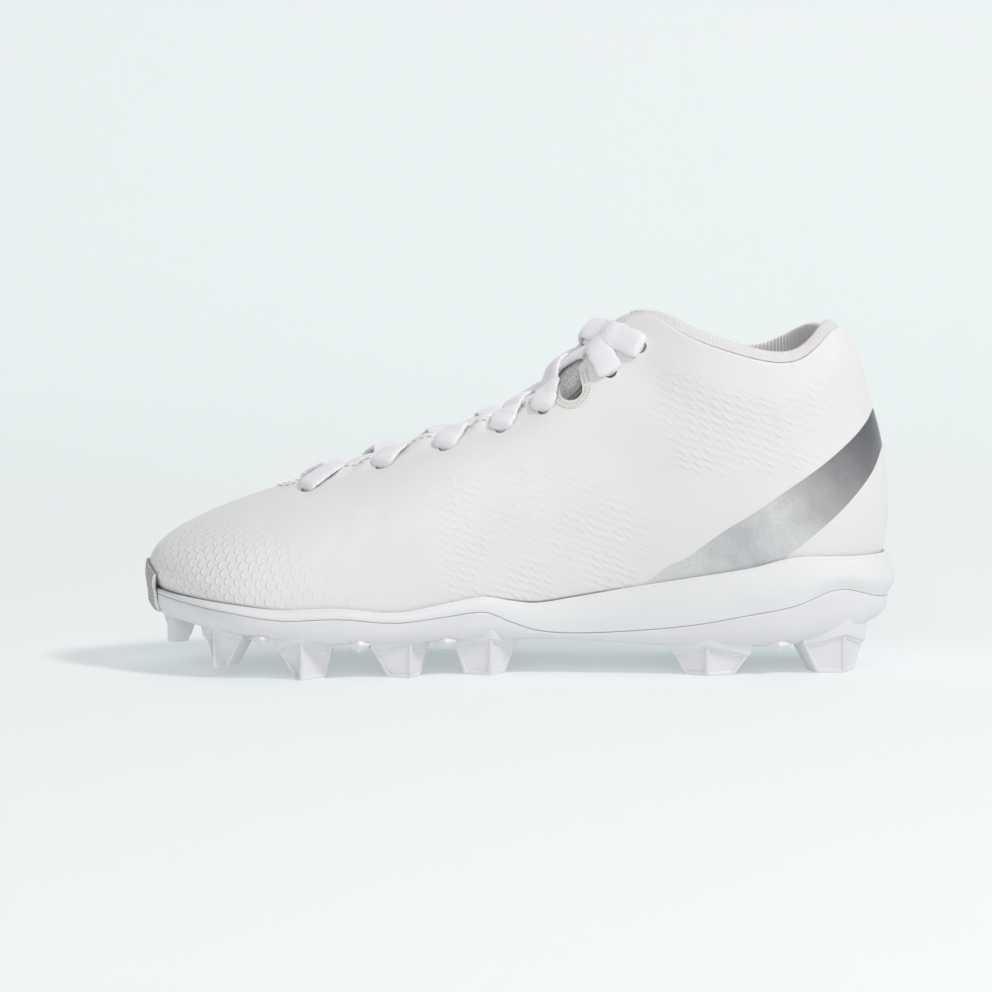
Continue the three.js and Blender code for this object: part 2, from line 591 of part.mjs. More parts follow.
function nubGeometry(at, side) {
  const u = shareAlong(at, side);
  const z = mix(level.under(at), level.rim(at), 0.08);
  const nub = new THREE.OctahedronGeometry(NUB_SIZE / 2).scale(1.3, 0.85, 0.9);
  const centre = solePoint(u, mix(flare.under(at), rimOuter(u), 0.55), z);
  return nub.translate(centre.x, centre.y, centre.z);
}
function outsoleGeometry() {
  let solid = toSolid(plateGeometry());
  for (const side of [-1, 1]) {
    for (const stud of STUDS) solid = solid.add(toSolid(studGeometry(stud, side)));
    for (const nub of NUBS) solid = solid.add(toSolid(nubGeometry(nub.at, side)));
  }
  return toGeometry(solid.subtract(toSolid(trayGeometry())));
}

// Midsole: foam that fills the plate's tray, stands out over its rim and cups the upper.
function midsoleGeometry() {
  const skin = new Skin();
  const edge = (s) => level.edge(s);
  const beside = (z, out) => (u) => solePoint(u, upperStand(u, z(along(u))) + out, z(along(u)));
  const over = (u) => level.rim(along(u)) + 1.5 * GAP;
  const side = (u) => rimInner(u) - GAP;
  const rings = [
    ...trayRings(skin, GAP),
    ringOf(skin, (u) => solePoint(u, side(u), over(u))),
    ringOf(skin, (u) => solePoint(u, rimOuter(u), over(u))),
    ringOf(skin, (u) => {
      const s = along(u);
      const bottom = rimOuter(u) + flare.full(s);
      const top = upperStand(u, edge(s)) + GAP + MIDSOLE_LIP;
      return solePoint(u, Math.max(bottom, mix(bottom, top, 0.4)), mix(over(u), edge(s), 0.4));
    }),
    ringOf(skin, beside(edge, GAP + MIDSOLE_LIP)),
    ringOf(skin, beside(edge, GAP)),
    ringOf(skin, beside((s) => mix(level.bed(s), edge(s), 0.45), GAP)),
    ringOf(skin, (u) => solePoint(u, GAP, level.bed(along(u)) - GAP)),
  ];
  return closeStack(skin, rings);
}

// Insole: lies on the midsole, inside the upper.
function insoleGeometry() {
  const skin = new Skin();
  const inside = (lift) => (u) => {
    const z = level.bed(along(u)) + lift;
    return solePoint(u, upperStand(u, z) - WALL - 4 * GAP, z);
  };
  return closeStack(skin, [0, INSOLE_THICKNESS].map((lift) => ringOf(skin, inside(lift))));
}

// A closed solid swept through sections of the same number of points, capped at both ends.
function sweep(sections) {
  const skin = new Skin();
  const rings = sections.map((points) => skin.ring(points));
  for (let i = 0; i < rings.length - 1; i++) skin.band(rings[i], rings[i + 1]);
  skin.stripCap(rings[0], true);
  skin.stripCap(rings[rings.length - 1], false);
  return skin.geometry();
}

// Collar padding: lines the inside of the collar and rolls up over the upper's edge. It thins out
// towards the throat's corners.
function collarGeometry() {
  const [medial, lateral] = CORNERS;
  const shares = FACETS.map((u) => (u > 0.5 ? u - 1 : u)).sort((a, b) => b - a);
  const inCollar = shares.filter((u) => u < medial - COLLAR_START && u > lateral - 1 + COLLAR_START);
  const sections = inCollar.map((u, i) => {
    const end = Math.min(i, inCollar.length - 1 - i) / COLLAR_FADE;
    const full = smooth(clamp(end, 0, 1));
    const pad = mix(0.3, 1, full) * COLLAR_PAD;
    const roll = mix(0.5, 1, full) * COLLAR_ROLL;
    const depth = mix(0.45, 1, full) * COLLAR_DEPTH;
    const edge = upperPoint(u, 1);
    const n = upperNormal(u, 1);
    const up = edge.clone().sub(upperPoint(u, 0.97)).normalize();
    const at = (out, rise) => edge.clone().addScaledVector(n, out).addScaledVector(up, rise);
    const inside = (down, extra) => upperOffset(u, shareBelowEdge(u, down), -WALL - GAP - extra);
    return [
      inside(depth, 0),
      inside(depth * 0.5, 0),
      at(-WALL - GAP, 0),
      at(-WALL * 0.6, GAP * 2),
      at(-WALL - 0.5 * pad, roll),
      at(-WALL - 0.95 * pad, roll * 0.3),
      inside(depth * 0.5, pad),
      inside(depth, pad * 0.35),
    ];
  });
  return sweep(sections);
}

// The throat: r runs from the collar's corners (0) to its front (1), t from the medial edge (0) to
// the lateral edge (1).
const throatShares = (r) => [0, 1].map((k) => mix(CORNERS[k], THROAT_FRONT[k], r));
const tongueCurve = (column, size) => {
  const curve = tableCurve(TONGUE, column);
  return (r) => curve(r) * size;
};
const tongueCrown = tongueCurve("crown", TONGUE_CROWN);
const tongueWing = tongueCurve("wing", TONGUE_WING);
const dropCurve = tongueCurve("drop", TONGUE_DROP);
const tongueDrop = (r) => WALL + GAP + dropCurve(r);
function throatPoint(r, t, out) {
  const [medial, lateral] = throatShares(r);
  const [a, b] = [medial, lateral].map((u) => upperOffset(u, 1, -tongueDrop(r)));
  const normal = upperNormal(medial, 1).add(upperNormal(lateral, 1)).normalize();
  return a.lerp(b, t).addScaledVector(normal, tongueCrown(r) * 4 * t * (1 - t) + out);
}

// Tongue: under the eyestays, crowned between them, and standing a little past the collar.
const TONGUE_ACROSS = [0.2, 0.4, 0.6, 0.8];
function tongueSection(r) {
  const shares = throatShares(r);
  const wing = tongueWing(r);
  const side = (u, extra) =>
    [1, 0.5, 0.05].map((k) => upperOffset(u, shareBelowEdge(u, wing * k), -tongueDrop(r) - extra));
  const face = (extra) => [
    ...side(shares[0], extra),
    ...TONGUE_ACROSS.map((t) => throatPoint(r, t, -extra)),
    ...side(shares[1], extra).reverse(),
  ];
  return [...face(0), ...face(TONGUE_THICKNESS).reverse()];
}
function tongueGeometry() {
  const sections = [];
  for (let i = 0; i <= TONGUE_STEPS; i++) sections.push(tongueSection(i / TONGUE_STEPS));
  const last = sections[0].length;
  const middle = (points) => points[4].clone().add(points[5]).multiplyScalar(0.5);
  const up = middle(sections[0]).sub(middle(sections[1])).normalize();
  const tip = sections[0].map((p, i) => {
    const share = Math.min(i % (last / 2), last / 2 - 1 - (i % (last / 2))) / (last / 4);
    return p.clone().lerp(middle(sections[0]), 0.2).addScaledVector(up, TONGUE_RISE * mix(0.3, 1, share));
  });
  return sweep([tip, ...sections]);
}

// Laces: flat cord crossings, each from an eyelet over the tongue to the next one opposite.
function laceStrip(from, to, lift) {
  const over = LACE_CLEAR + LACE_THICKNESS / 2;
  const rAt = (t) => mix(from.row.crossing, to.row.crossing, t);
  const side = ({ row, k }, t) => {
    const u = k === 0 ? row.medial : row.lateral;
    const { centre, normal } = eyeletPlace(u, row.inset);
    const edge = upperOffset(throatShares(rAt(t))[k], 1, over + EDGE_LIFT);
    return { eye: centre.addScaledVector(normal, over), normal, edge };
  };
  const [a, b] = [side(from, LACE_TURN), side(to, 1 - LACE_TURN)];
  const across = from.k === 0 ? (t) => t : (t) => 1 - t;
  const points = [a.eye, a.edge];
  for (const t of [0.3, 0.5, 0.7]) {
    const rise = lift * Math.sin(Math.PI * t);
    points.push(throatPoint(rAt(mix(LACE_TURN, 1 - LACE_TURN, t)), across(t), over + rise));
  }
  points.push(b.edge, b.eye);
  const path = new THREE.CatmullRomCurve3(points, false, "centripetal");
  const middle = throatPoint(rAt(0.5), 0.5, 1).sub(throatPoint(rAt(0.5), 0.5, 0));
  const sections = [];
  for (let i = 0; i <= LACE_STEPS; i++) {
    const t = i / LACE_STEPS;
    const p = path.getPoint(t);
    const tangent = path.getTangent(t);
    const near = t < 0.5 ? a.normal : b.normal;
    const normal = near.clone().lerp(middle, 1 - Math.abs(2 * t - 1)).normalize();
    const flat = tangent.clone().cross(normal).normalize();
    const top = flat.clone().cross(tangent).normalize();
    sections.push(
      Array.from({ length: 6 }, (_, k) => {
        const turn = (Math.PI * k) / 3;
        const [c, h] = [Math.cos(turn) * LACE_WIDTH * 0.5, Math.sin(turn) * LACE_THICKNESS * 0.577];
        return p.clone().addScaledVector(flat, c).addScaledVector(top, h);
      }),
    );
  }
  return sweep(sections);
}
function lacesGeometry() {
  const end = (row, k) => ({ row: EYELETS[row], k });
  const strips = [];
  for (let i = 0; i < EYELETS.length - 1; i++) {
    strips.push(laceStrip(end(i, 1), end(i + 1, 0), 0));
    strips.push(laceStrip(end(i, 0), end(i + 1, 1), LACE_THICKNESS * 0.5));
  }
  return toGeometry(wasm.Manifold.union(strips.map(toSolid)));
}

// Toe bumper: a thin shield that wraps the plate's wall and stands up in front of the toe.
function bumperGeometry() {
  const middle = FACETS.indexOf(0.5) + BUMPER_ASIDE;
  const facet = solePoint(FACETS[middle], 0, 0).distanceTo(solePoint(FACETS[middle + 1], 0, 0));
  const reach = Math.round(BUMPER_WIDTH / 2 / facet);
  const sections = [];
  for (let i = -reach; i <= reach; i++) {
    const u = FACETS[middle + i];
    const rim = level.rim(along(u));
    const high = rim + BUMPER_RISE * (1 - BUMPER_ROUND * (i / reach) ** 2);
    const stand = (z) => Math.max(rimOuter(u), upperStand(u, z)) + GAP;
    const inner = [
      ...WALL_STEPS.slice(2).map((step) => wallPoint(u, step, GAP)),
      solePoint(u, rimOuter(u) + GAP + BUMPER_BELLY, mix(rim, high, 0.55)),
      solePoint(u, stand(high), high),
    ];
    const n = footNormal(u);
    const outer = inner.map((p) => p.clone().addScaledVector(n, BUMPER_THICKNESS));
    sections.push([...inner, ...outer.reverse()]);
  }
  return sweep(sections);
}

const PIECES = [
  ["outsole", outsoleGeometry, 0xe9e8ec, 0.42],
  ["midsole", midsoleGeometry, 0xe6e9eb, 0.55],
  ["toe_bumper", bumperGeometry, 0xdcdad8, 0.6],
  ["upper", upperGeometry, 0xe9e9e9, 0.5],
  ["insole", insoleGeometry, 0xcfcfd2, 0.9],
  ["tongue", tongueGeometry, 0xd6d5d6, 0.9],
  ["collar_padding", collarGeometry, 0xdedcdd, 0.95],
  ["laces", lacesGeometry, 0xf1f0f5, 0.85],
];

const shoe = new THREE.Group();
for (const [name, make, colour, roughness] of PIECES) {
  const material = new THREE.MeshStandardMaterial({ color: colour, roughness, metalness: 0 });
  const mesh = new THREE.Mesh(make(), material);
  mesh.name = name;
  shoe.add(mesh);
}
// The origin is moved to the middle of the whole shoe's box, on the floor.
const box = new THREE.Box3().setFromObject(shoe);
const middle = box.getCenter(new THREE.Vector3()).setZ(box.min.z);
for (const mesh of shoe.children) mesh.geometry.translate(-middle.x, -middle.y, -middle.z);
export default shoe;
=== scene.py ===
"""Looks of the American football cleat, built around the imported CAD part.

The forms come from the same tables of sections as the CAD (in mm), cut finer. Textures are made in
the shaders from each piece's own surface coordinates, also in mm.
"""

from math import cos, pi, radians, sin

import bmesh
import bpy
import numpy as np
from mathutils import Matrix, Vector
from numpy.linalg import norm


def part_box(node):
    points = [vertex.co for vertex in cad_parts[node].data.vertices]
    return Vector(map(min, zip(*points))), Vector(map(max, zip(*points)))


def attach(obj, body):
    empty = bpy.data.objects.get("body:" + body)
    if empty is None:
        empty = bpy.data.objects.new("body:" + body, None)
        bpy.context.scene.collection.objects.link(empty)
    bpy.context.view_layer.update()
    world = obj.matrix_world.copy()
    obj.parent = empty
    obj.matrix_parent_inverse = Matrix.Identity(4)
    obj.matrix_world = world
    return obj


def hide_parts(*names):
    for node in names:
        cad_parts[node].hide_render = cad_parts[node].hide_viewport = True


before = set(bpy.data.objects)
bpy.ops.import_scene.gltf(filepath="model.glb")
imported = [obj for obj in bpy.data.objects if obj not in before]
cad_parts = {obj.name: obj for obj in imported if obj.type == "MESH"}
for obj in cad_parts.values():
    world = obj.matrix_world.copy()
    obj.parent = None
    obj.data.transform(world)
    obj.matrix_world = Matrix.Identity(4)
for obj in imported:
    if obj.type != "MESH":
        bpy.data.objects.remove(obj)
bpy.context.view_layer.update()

MM = 0.001

LENGTH, BALL_WIDTH, INSTEP_HEIGHT, HEEL_CUP_HEIGHT = 300.0, 104.0, 142.0, 47.5
WALL, GAP = 1.8, 0.3
PLATE_RIM, PLATE_THICKNESS = 2.0, 3.2
MIDSOLE_WRAP, MIDSOLE_LIP = 1.2, 2.0
INSOLE_THICKNESS, TONGUE_THICKNESS = 3.2, 4.0
TRAY_LEAN = 0.8
SEAM = 0.14  # open line between glued pieces, narrower than the gap of the solids
TONGUE_DROP, TONGUE_CROWN, TONGUE_WING, TONGUE_RISE = 1.6, 6.0, 12.0, 6.0
COLLAR_PAD, COLLAR_ROLL, COLLAR_START, COLLAR_DEPTH = 5.0, 4.4, 0.005, 30.0
LACE_WIDTH, LACE_THICKNESS, LACE_LEAN = 10.6, 2.5, 0.1
EYESTAY_LIFT, EYESTAY_PRESSED, THROAT_LENGTH = (4.6, 0.9), 0.9, 150.0
EYELET_DIAMETER, EYELET_INSET = 5.0, 11.0
NOTCH_WIDTH, NOTCH_DEPTH = 9.5, 24.0
BUMPER_THICKNESS, BUMPER_WIDTH, BUMPER_RISE = 1.3, 27.0, 12.0
BUMPER_ROUND, BUMPER_BELLY, BUMPER_ASIDE = 0.35, 0.9, 1
STUD_BASE, STUD_STEP, STUD_SKIN, NUB_SIZE = 2.4, 0.9, 0.8, 8.0
STUD_TIP_DEEP, STUD_ROOT, STUD_ARCH, STUD_CREST_LIMIT = 0.62, 1.15, 4.0, 0.8
SCALE_CELL, RIDGE_PERIOD, RIDGE_SLOPE = 4.2, 3.2, 0.34
STITCH_PITCH, STITCH_INSET, COLLAR_RIB = 3.0, 3.4, 1.75
COLLAR_COLUMNS, COLLAR_ROWS, TONGUE_STEPS, LACE_STEPS = 820, 56, 150, 110
PANEL_BORDER, PANEL_STEP, PANEL_DEPTH = 1.5, 0.4, 0.7
STUD_BEVEL, NUB_BEVEL = 0.45, 0.4

RIB_COLUMNS = "footX footY topX topY topZ face flare rise reach drop".split()
RIBS = np.array([
    [0.473, 0.000, 0.437, 0.004, 0.936, 0, 0.118, 0.185, 0.108, 0.21],
    [0.440, -0.195, 0.418, -0.140, 0.962, 38, 0.100, 0.185, 0.105, 0.22],
    [0.360, -0.307, 0.370, -0.252, 0.883, 74, 0.060, 0.190, 0.060, 0.24],
    [0.262, -0.317, 0.290, -0.300, 0.898, 88, 0.045, 0.200, 0.045, 0.27],
    [0.158, -0.285, 0.208, -0.255, 0.962, 92, 0.045, 0.210, 0.070, 0.27],
    [0.050, -0.268, 0.142, -0.162, 0.988, 98, 0.060, 0.215, 0.150, 0.20],
    [-0.065, -0.318, 0.045, -0.158, 0.790, 108, 0.065, 0.185, 0.185, 0.085],
    [-0.180, -0.400, -0.060, -0.135, 0.680, 116, 0.065, 0.165, 0.245, 0.065],
    [-0.290, -0.430, -0.160, -0.114, 0.607, 126, 0.060, 0.150, 0.270, 0.065],
    [-0.396, -0.375, -0.252, -0.094, 0.544, 146, 0.085, 0.135, 0.340, 0.088],
    [-0.468, -0.105, -0.303, -0.025, 0.520, 180, 0.190, 0.128, 0.450, 0.102],
    [-0.437, 0.140, -0.264, 0.055, 0.536, 210, 0.090, 0.135, 0.350, 0.092],
    [-0.365, 0.310, -0.204, 0.090, 0.576, 232, 0.065, 0.150, 0.285, 0.075],
    [-0.260, 0.410, -0.130, 0.106, 0.624, 243, 0.065, 0.160, 0.265, 0.070],
    [-0.140, 0.440, -0.052, 0.130, 0.680, 252, 0.065, 0.175, 0.240, 0.075],
    [-0.015, 0.410, 0.046, 0.156, 0.790, 260, 0.060, 0.190, 0.205, 0.090],
    [0.105, 0.365, 0.138, 0.164, 0.978, 266, 0.060, 0.215, 0.150, 0.20],
    [0.215, 0.338, 0.222, 0.258, 0.922, 271, 0.050, 0.210, 0.070, 0.27],
    [0.318, 0.322, 0.315, 0.292, 0.862, 277, 0.045, 0.195, 0.050, 0.26],
    [0.420, 0.235, 0.396, 0.212, 0.933, 312, 0.085, 0.185, 0.090, 0.23],
])
SOLE_LEVELS = {
    "at": [0, 0.03, 0.084, 0.14, 0.195, 0.27, 0.35, 0.43, 0.48, 0.515, 0.55, 0.6, 0.665, 0.74,
           0.815, 0.885, 0.935, 0.97, 1.0],
    "under": [0.44, 0.375, 0.288, 0.24, 0.228, 0.222, 0.24, 0.275, 0.28, 0.28, 0.28, 0.28, 0.28,
              0.285, 0.32, 0.37, 0.41, 0.43, 0.45],
    "rim": [0.57, 0.605, 0.712, 0.59, 0.52, 0.43, 0.375, 0.352, 0.38, 0.455, 0.54, 0.512, 0.474,
            0.515, 0.505, 0.57, 0.622, 0.655, 0.66],
    "edge": [0.975, 0.975, 0.992, 1.0, 0.915, 0.83, 0.742, 0.65, 0.606, 0.632, 0.67, 0.622, 0.56,
             0.604, 0.592, 0.635, 0.668, 0.692, 0.702],
    "bed": [0.8, 0.8, 0.788, 0.77, 0.74, 0.7, 0.64, 0.57, 0.53, 0.505, 0.485, 0.465, 0.45, 0.455,
            0.475, 0.525, 0.57, 0.605, 0.63],
}
SOLE_FLARES = {
    "at": [0, 0.07, 0.2, 0.35, 0.46, 0.56, 0.7, 0.85, 0.95, 1.0],
    "under": [-0.09, -0.06, -0.05, -0.07, -0.07, -0.045, -0.03, -0.035, -0.05, -0.07],
    "rim": [0.018, 0.012, 0.004, 0, 0, 0.004, 0.006, 0.004, 0, 0],
    "full": [0.03, 0.022, 0.008, 0.004, 0.004, 0.002, 0, 0, 0, 0],
}
# name, at, inset, wide, deep, ridge, crest, tip, rake, foot, toeing
STUDS = [
    ("heel_back", 0.080, 0.015, 0.285, 0.160, 0.050, 0.16, 0.59, 0.012, 0.000, 0),
    ("heel_front", 0.247, 0.012, 0.300, 0.150, 0.035, -0.10, 0.62, -0.008, 0.000, 0),
    ("ball_back", 0.543, 0.015, 0.248, 0.160, 0.055, 0.10, 0.64, -0.004, 0.000, 0),
    ("ball_mid", 0.654, 0.022, 0.230, 0.160, 0.055, 0.26, 0.57, 0.020, 0.000, 6),
    ("ball_front", 0.779, 0.022, 0.226, 0.150, 0.055, -0.24, 0.53, 0.020, 0.000, 12),
    ("toe_side", 0.897, 0.016, 0.180, 0.140, 0.060, -0.10, 0.20, 0.000, 0.085, 0),
    ("toe_tip", 0.964, 0.036, 0.110, 0.090, 0.024, 0.10, 0.54, 0.000, 0.235, 0),
]
NUBS = [0.157, 0.599, 0.712, 0.839]
# medial, lateral, inset, crossing
EYELETS = [
    (0.4475, 0.5630, 0.90, 0.800),
    (0.4020, 0.6176, 0.85, 0.600),
    (0.3610, 0.6668, 1.00, 0.430),
    (0.3270, 0.7076, 0.98, 0.310),
    (0.3010, 0.7388, 1.20, 0.215),
    (0.2560, 0.7928, 2.08, 0.095),
    (0.2350, 0.8180, 1.30, 0.055),
]
NOTCHES = [(0.290, 0.2785), (0.752, 0.7658)]
TONGUE = {
    "at": [0.00, 0.13, 0.26, 0.40, 0.80, 1.00],
    "crown": [0.66, 1.15, 0.62, 0.26, 0.20, 0.08],
    "drop": [2.2, 1.7, 1.1, 1.0, 1.0, 1.0],
    "wing": [0.45, 0.70, 1.00, 1.00, 1.00, 1.00],
}
CORNERS = (0.250, 0.800)
THROAT_FRONT = (0.487, 0.513)
WALL_OUT = {"up": [0.0, 0.14, 0.34, 0.62, 1.0], "out": [0.0, 0.60, 0.84, 0.97, 1.0]}


def closed_spline(values):
    """A periodic cubic spline through evenly spaced values, as a function of arrays."""
    n = len(values)
    system = 4 * np.eye(n) + np.roll(np.eye(n), 1, 0) + np.roll(np.eye(n), -1, 0)
    pull = 6 * (np.roll(values, 1) - 2 * values + np.roll(values, -1))
    bend = np.linalg.solve(system, pull)

    def curve(u):
        t = (u - np.floor(u)) * n
        i = np.floor(t).astype(int) % n
        b = t - np.floor(t)
        a = 1 - b
        j = (i + 1) % n
        bent = (a**3 - a) * bend[i] + (b**3 - b) * bend[j]
        return a * values[i] + b * values[j] + bent / 6

    return curve


def table_curve(at, values):
    """A smooth open curve through a table's column."""
    at, values = np.array(at, float), np.array(values, float)
    n = len(at)
    lo, hi = np.maximum(np.arange(n) - 1, 0), np.minimum(np.arange(n) + 1, n - 1)
    slope = (values[hi] - values[lo]) / (at[hi] - at[lo])

    def curve(s):
        x = np.clip(s, at[0], at[-1])
        i = np.clip(np.searchsorted(at, x, side="left") - 1, 0, n - 2)
        span = at[i + 1] - at[i]
        t = (x - at[i]) / span
        t2, t3 = t * t, t * t * t
        return (
            (2 * t3 - 3 * t2 + 1) * values[i]
            + (t3 - 2 * t2 + t) * span * slope[i]
            + (3 * t2 - 2 * t3) * values[i + 1]
            + (t3 - t2) * span * slope[i + 1]
        )

    return curve


def make_rib(column):
    k = RIB_COLUMNS.index(column)
    turning = 360.0 if column == "face" else 0.0
    n = len(RIBS)
    still = closed_spline(RIBS[:, k] - turning * np.arange(n) / n)
    return lambda u: still(u) + turning * (u - np.floor(u))


rib = {c: make_rib(c) for c in RIB_COLUMNS}


def scaled_curve(table, column, size):
    curve = table_curve(table["at"], table[column])
    return lambda s: curve(s) * size


level = {c: scaled_curve(SOLE_LEVELS, c, HEEL_CUP_HEIGHT) for c in ("under", "rim", "edge", "bed")}
flare = {c: scaled_curve(SOLE_FLARES, c, BALL_WIDTH) for c in ("under", "rim", "full")}
tongue_crown = scaled_curve(TONGUE, "crown", TONGUE_CROWN)
tongue_wing = scaled_curve(TONGUE, "wing", TONGUE_WING)
drop_curve = scaled_curve(TONGUE, "drop", TONGUE_DROP)


def mix(a, b, t):
    return a + (b - a) * t


def smooth(t):
    t = np.clip(t, 0, 1)
    return t * t * (3 - 2 * t)


def unit(v):
    return v / np.maximum(norm(v, axis=-1, keepdims=True), 1e-9)


def vec(x, y, z):
    return np.stack(np.broadcast_arrays(x, y, z), axis=-1).astype(float)


def foot_x(u):
    return rib["footX"](u) * LENGTH


def foot_y(u):
    return rib["footY"](u) * BALL_WIDTH


def along(u):
    return 0.5 - rib["footX"](u)


def foot_normal(u):
    step = 0.002
    dx = foot_x(u + step) - foot_x(u - step)
    dy = foot_y(u + step) - foot_y(u - step)
    return unit(vec(-dy, dx, 0 * dx))


def sole_point(u, out, z):
    n = foot_normal(u)
    return vec(foot_x(u) + n[..., 0] * out, foot_y(u) + n[..., 1] * out, z)


def upper_point(u, w):
    """The outer face of the upper: u round the perimeter, w from the feather line to the edge."""
    u, w = np.broadcast_arrays(np.asarray(u, float), np.asarray(w, float))
    face = np.radians(rib["face"](u))
    out = vec(np.cos(face), -np.sin(face), 0 * face)
    foot = vec(foot_x(u), foot_y(u), level["bed"](along(u)))
    top = vec(rib["topX"](u) * LENGTH, rib["topY"](u) * BALL_WIDTH, rib["topZ"](u) * INSTEP_HEIGHT)
    low = foot + out * (rib["flare"](u) * BALL_WIDTH)[..., None]
    low[..., 2] += rib["rise"](u) * INSTEP_HEIGHT
    high = top + out * (rib["reach"](u) * BALL_WIDTH)[..., None]
    high[..., 2] -= rib["drop"](u) * INSTEP_HEIGHT
    w = w[..., None]
    v = 1 - w
    return foot * v**3 + low * 3 * v * v * w + high * 3 * v * w * w + top * w**3


def upper_normal(u, w):
    step = 0.004
    u, w = np.broadcast_arrays(np.asarray(u, float), np.asarray(w, float))
    across = upper_point(u + step, w) - upper_point(u - step, w)
    up = upper_point(u, np.minimum(1.2, w + step)) - upper_point(u, np.maximum(0, w - step))
    return unit(np.cross(up, across))


def upper_offset(u, w, out):
    out = np.asarray(out, float)
    return upper_point(u, w) + upper_normal(u, w) * out[..., None]


def share_at_height(u, z):
    u, z = np.broadcast_arrays(np.asarray(u, float), np.asarray(z, float))
    lo, hi = np.zeros(u.shape), np.full(u.shape, 0.6)
    for _ in range(24):
        mid = (lo + hi) / 2
        below = upper_point(u, mid)[..., 2] < z
        lo, hi = np.where(below, mid, lo), np.where(below, hi, mid)
    return (lo + hi) / 2


def rib_length(u):
    u = np.asarray(u, float)
    points = upper_point(u[..., None], np.linspace(0, 1, 13))
    return norm(np.diff(points, axis=-2), axis=-1).sum(-1)


def share_below_edge(u, distance):
    return 1 - distance / rib_length(u)


def upper_stand(u, z):
    p = upper_point(u, share_at_height(u, z))
    n = foot_normal(u)
    return (p[..., 0] - foot_x(u)) * n[..., 0] + (p[..., 1] - foot_y(u)) * n[..., 1]


def rim_inner(u):
    s = along(u)
    return upper_stand(u, level["rim"](s)) + MIDSOLE_WRAP + 2 * GAP + flare["rim"](s)


def rim_outer(u):
    return rim_inner(u) + PLATE_RIM


def wall_point(u, out, up, extra=0.0):
    s = along(u)
    z = mix(level["under"](s), level["rim"](s), up)
    return sole_point(u, mix(flare["under"](s), rim_outer(u), out) + extra, z)


wall_out = table_curve(WALL_OUT["up"], WALL_OUT["out"])


def around(count, tighter=0.35):
    t = np.arange(count) / count
    return t - tighter * np.sin(4 * pi * t) / (4 * pi)


def share_along(s, side):
    lo, hi = (0.0, 0.5) if side < 0 else (1.0, 0.5)
    for _ in range(30):
        mid = (lo + hi) / 2
        if along(np.array(mid)) < s:
            lo = mid
        else:
            hi = mid
    return (lo + hi) / 2


def insole_ring(shares, lift, pull=0.0):
    z = level["bed"](along(shares)) + lift
    return sole_point(shares, upper_stand(shares, z) - WALL - 4 * GAP - pull, z)


# The part's origin against the tables' own: from the insole, whose outline both have.
cad_insole = np.array(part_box("insole")) / MM
own_insole = insole_ring(around(68), 0)
SHIFT = (cad_insole[0] + cad_insole[1] - own_insole.min(0) - own_insole.max(0)) / 2 * [1, 1, 0]


def add_object(name, data):
    made = bpy.data.objects.new(name, data)
    bpy.context.scene.collection.objects.link(made)
    return made


def new_object(name, points, faces, attributes=None, uv=None, smooth_faces=True):
    """A mesh object from points in mm in the tables' frame. uv: one pair for each face corner."""
    mesh = bpy.data.meshes.new(name)
    mesh.from_pydata(((np.asarray(points) + SHIFT) * MM).tolist(), [], [list(f) for f in faces])
    for key, values in (attributes or {}).items():
        layer = mesh.attributes.new(key, "FLOAT", "POINT")
        layer.data.foreach_set("value", np.asarray(values, np.float32).ravel())
    if uv is not None:
        layer = mesh.uv_layers.new(name="UVMap")
        layer.data.foreach_set("uv", np.asarray(uv, np.float32).ravel())
    if smooth_faces:
        mesh.shade_smooth()
    return add_object(name, mesh)


def grid_corners(rows, columns, close_rows, close_columns):
    r = np.arange(rows if close_rows else rows - 1)
    c = np.arange(columns if close_columns else columns - 1)
    r, c = np.meshgrid(r, c, indexing="ij")
    return [(r, c), (r, c + 1), (r + 1, c + 1), (r + 1, c)]


def grid_faces(rows, columns, close_rows=False, close_columns=False, start=0):
    """Quads over a grid of points, row by row."""
    corners = grid_corners(rows, columns, close_rows, close_columns)
    quads = np.stack([a % rows * columns + b % columns for a, b in corners], -1)
    return quads.reshape(-1, 4) + start


def grid_uv(rows, columns, u_of, v_of, close_rows=False, close_columns=False):
    """UVs of the corners of grid_faces: u_of and v_of give (rows + 1, columns + 1) values."""
    corners = grid_corners(rows, columns, close_rows, close_columns)
    return np.stack([np.stack([u_of[at], v_of[at]], -1) for at in corners], 2).reshape(-1, 2)


def recalc(obj):
    bm = bmesh.new()
    bm.from_mesh(obj.data)
    bmesh.ops.recalc_face_normals(bm, faces=bm.faces)
    bm.to_mesh(obj.data)
    bm.free()
    return obj


def catmull(points, count, closed=False):
    """A Catmull-Rom curve through points (n, ..., 3) along the first axis, evenly by index."""
    n = len(points)
    t = np.linspace(0, n if closed else n - 1, count, endpoint=not closed)
    i = np.minimum(np.floor(t).astype(int), n - 1 if closed else n - 2)
    f = (t - i).reshape((-1,) + (1,) * (points.ndim - 1))
    pick = (lambda k: points[k % n]) if closed else (lambda k: points[np.clip(k, 0, n - 1)])
    p0, p1, p2, p3 = pick(i - 1), pick(i), pick(i + 1), pick(i + 2)
    return 0.5 * (
        2 * p1
        + (p2 - p0) * f
        + (2 * p0 - 5 * p1 + 4 * p2 - p3) * f**2
        + (3 * p1 - p0 - 3 * p2 + p3) * f**3
    )


def running_length(points):
    return np.concatenate([[0], np.cumsum(norm(np.diff(points, axis=0), axis=1))])


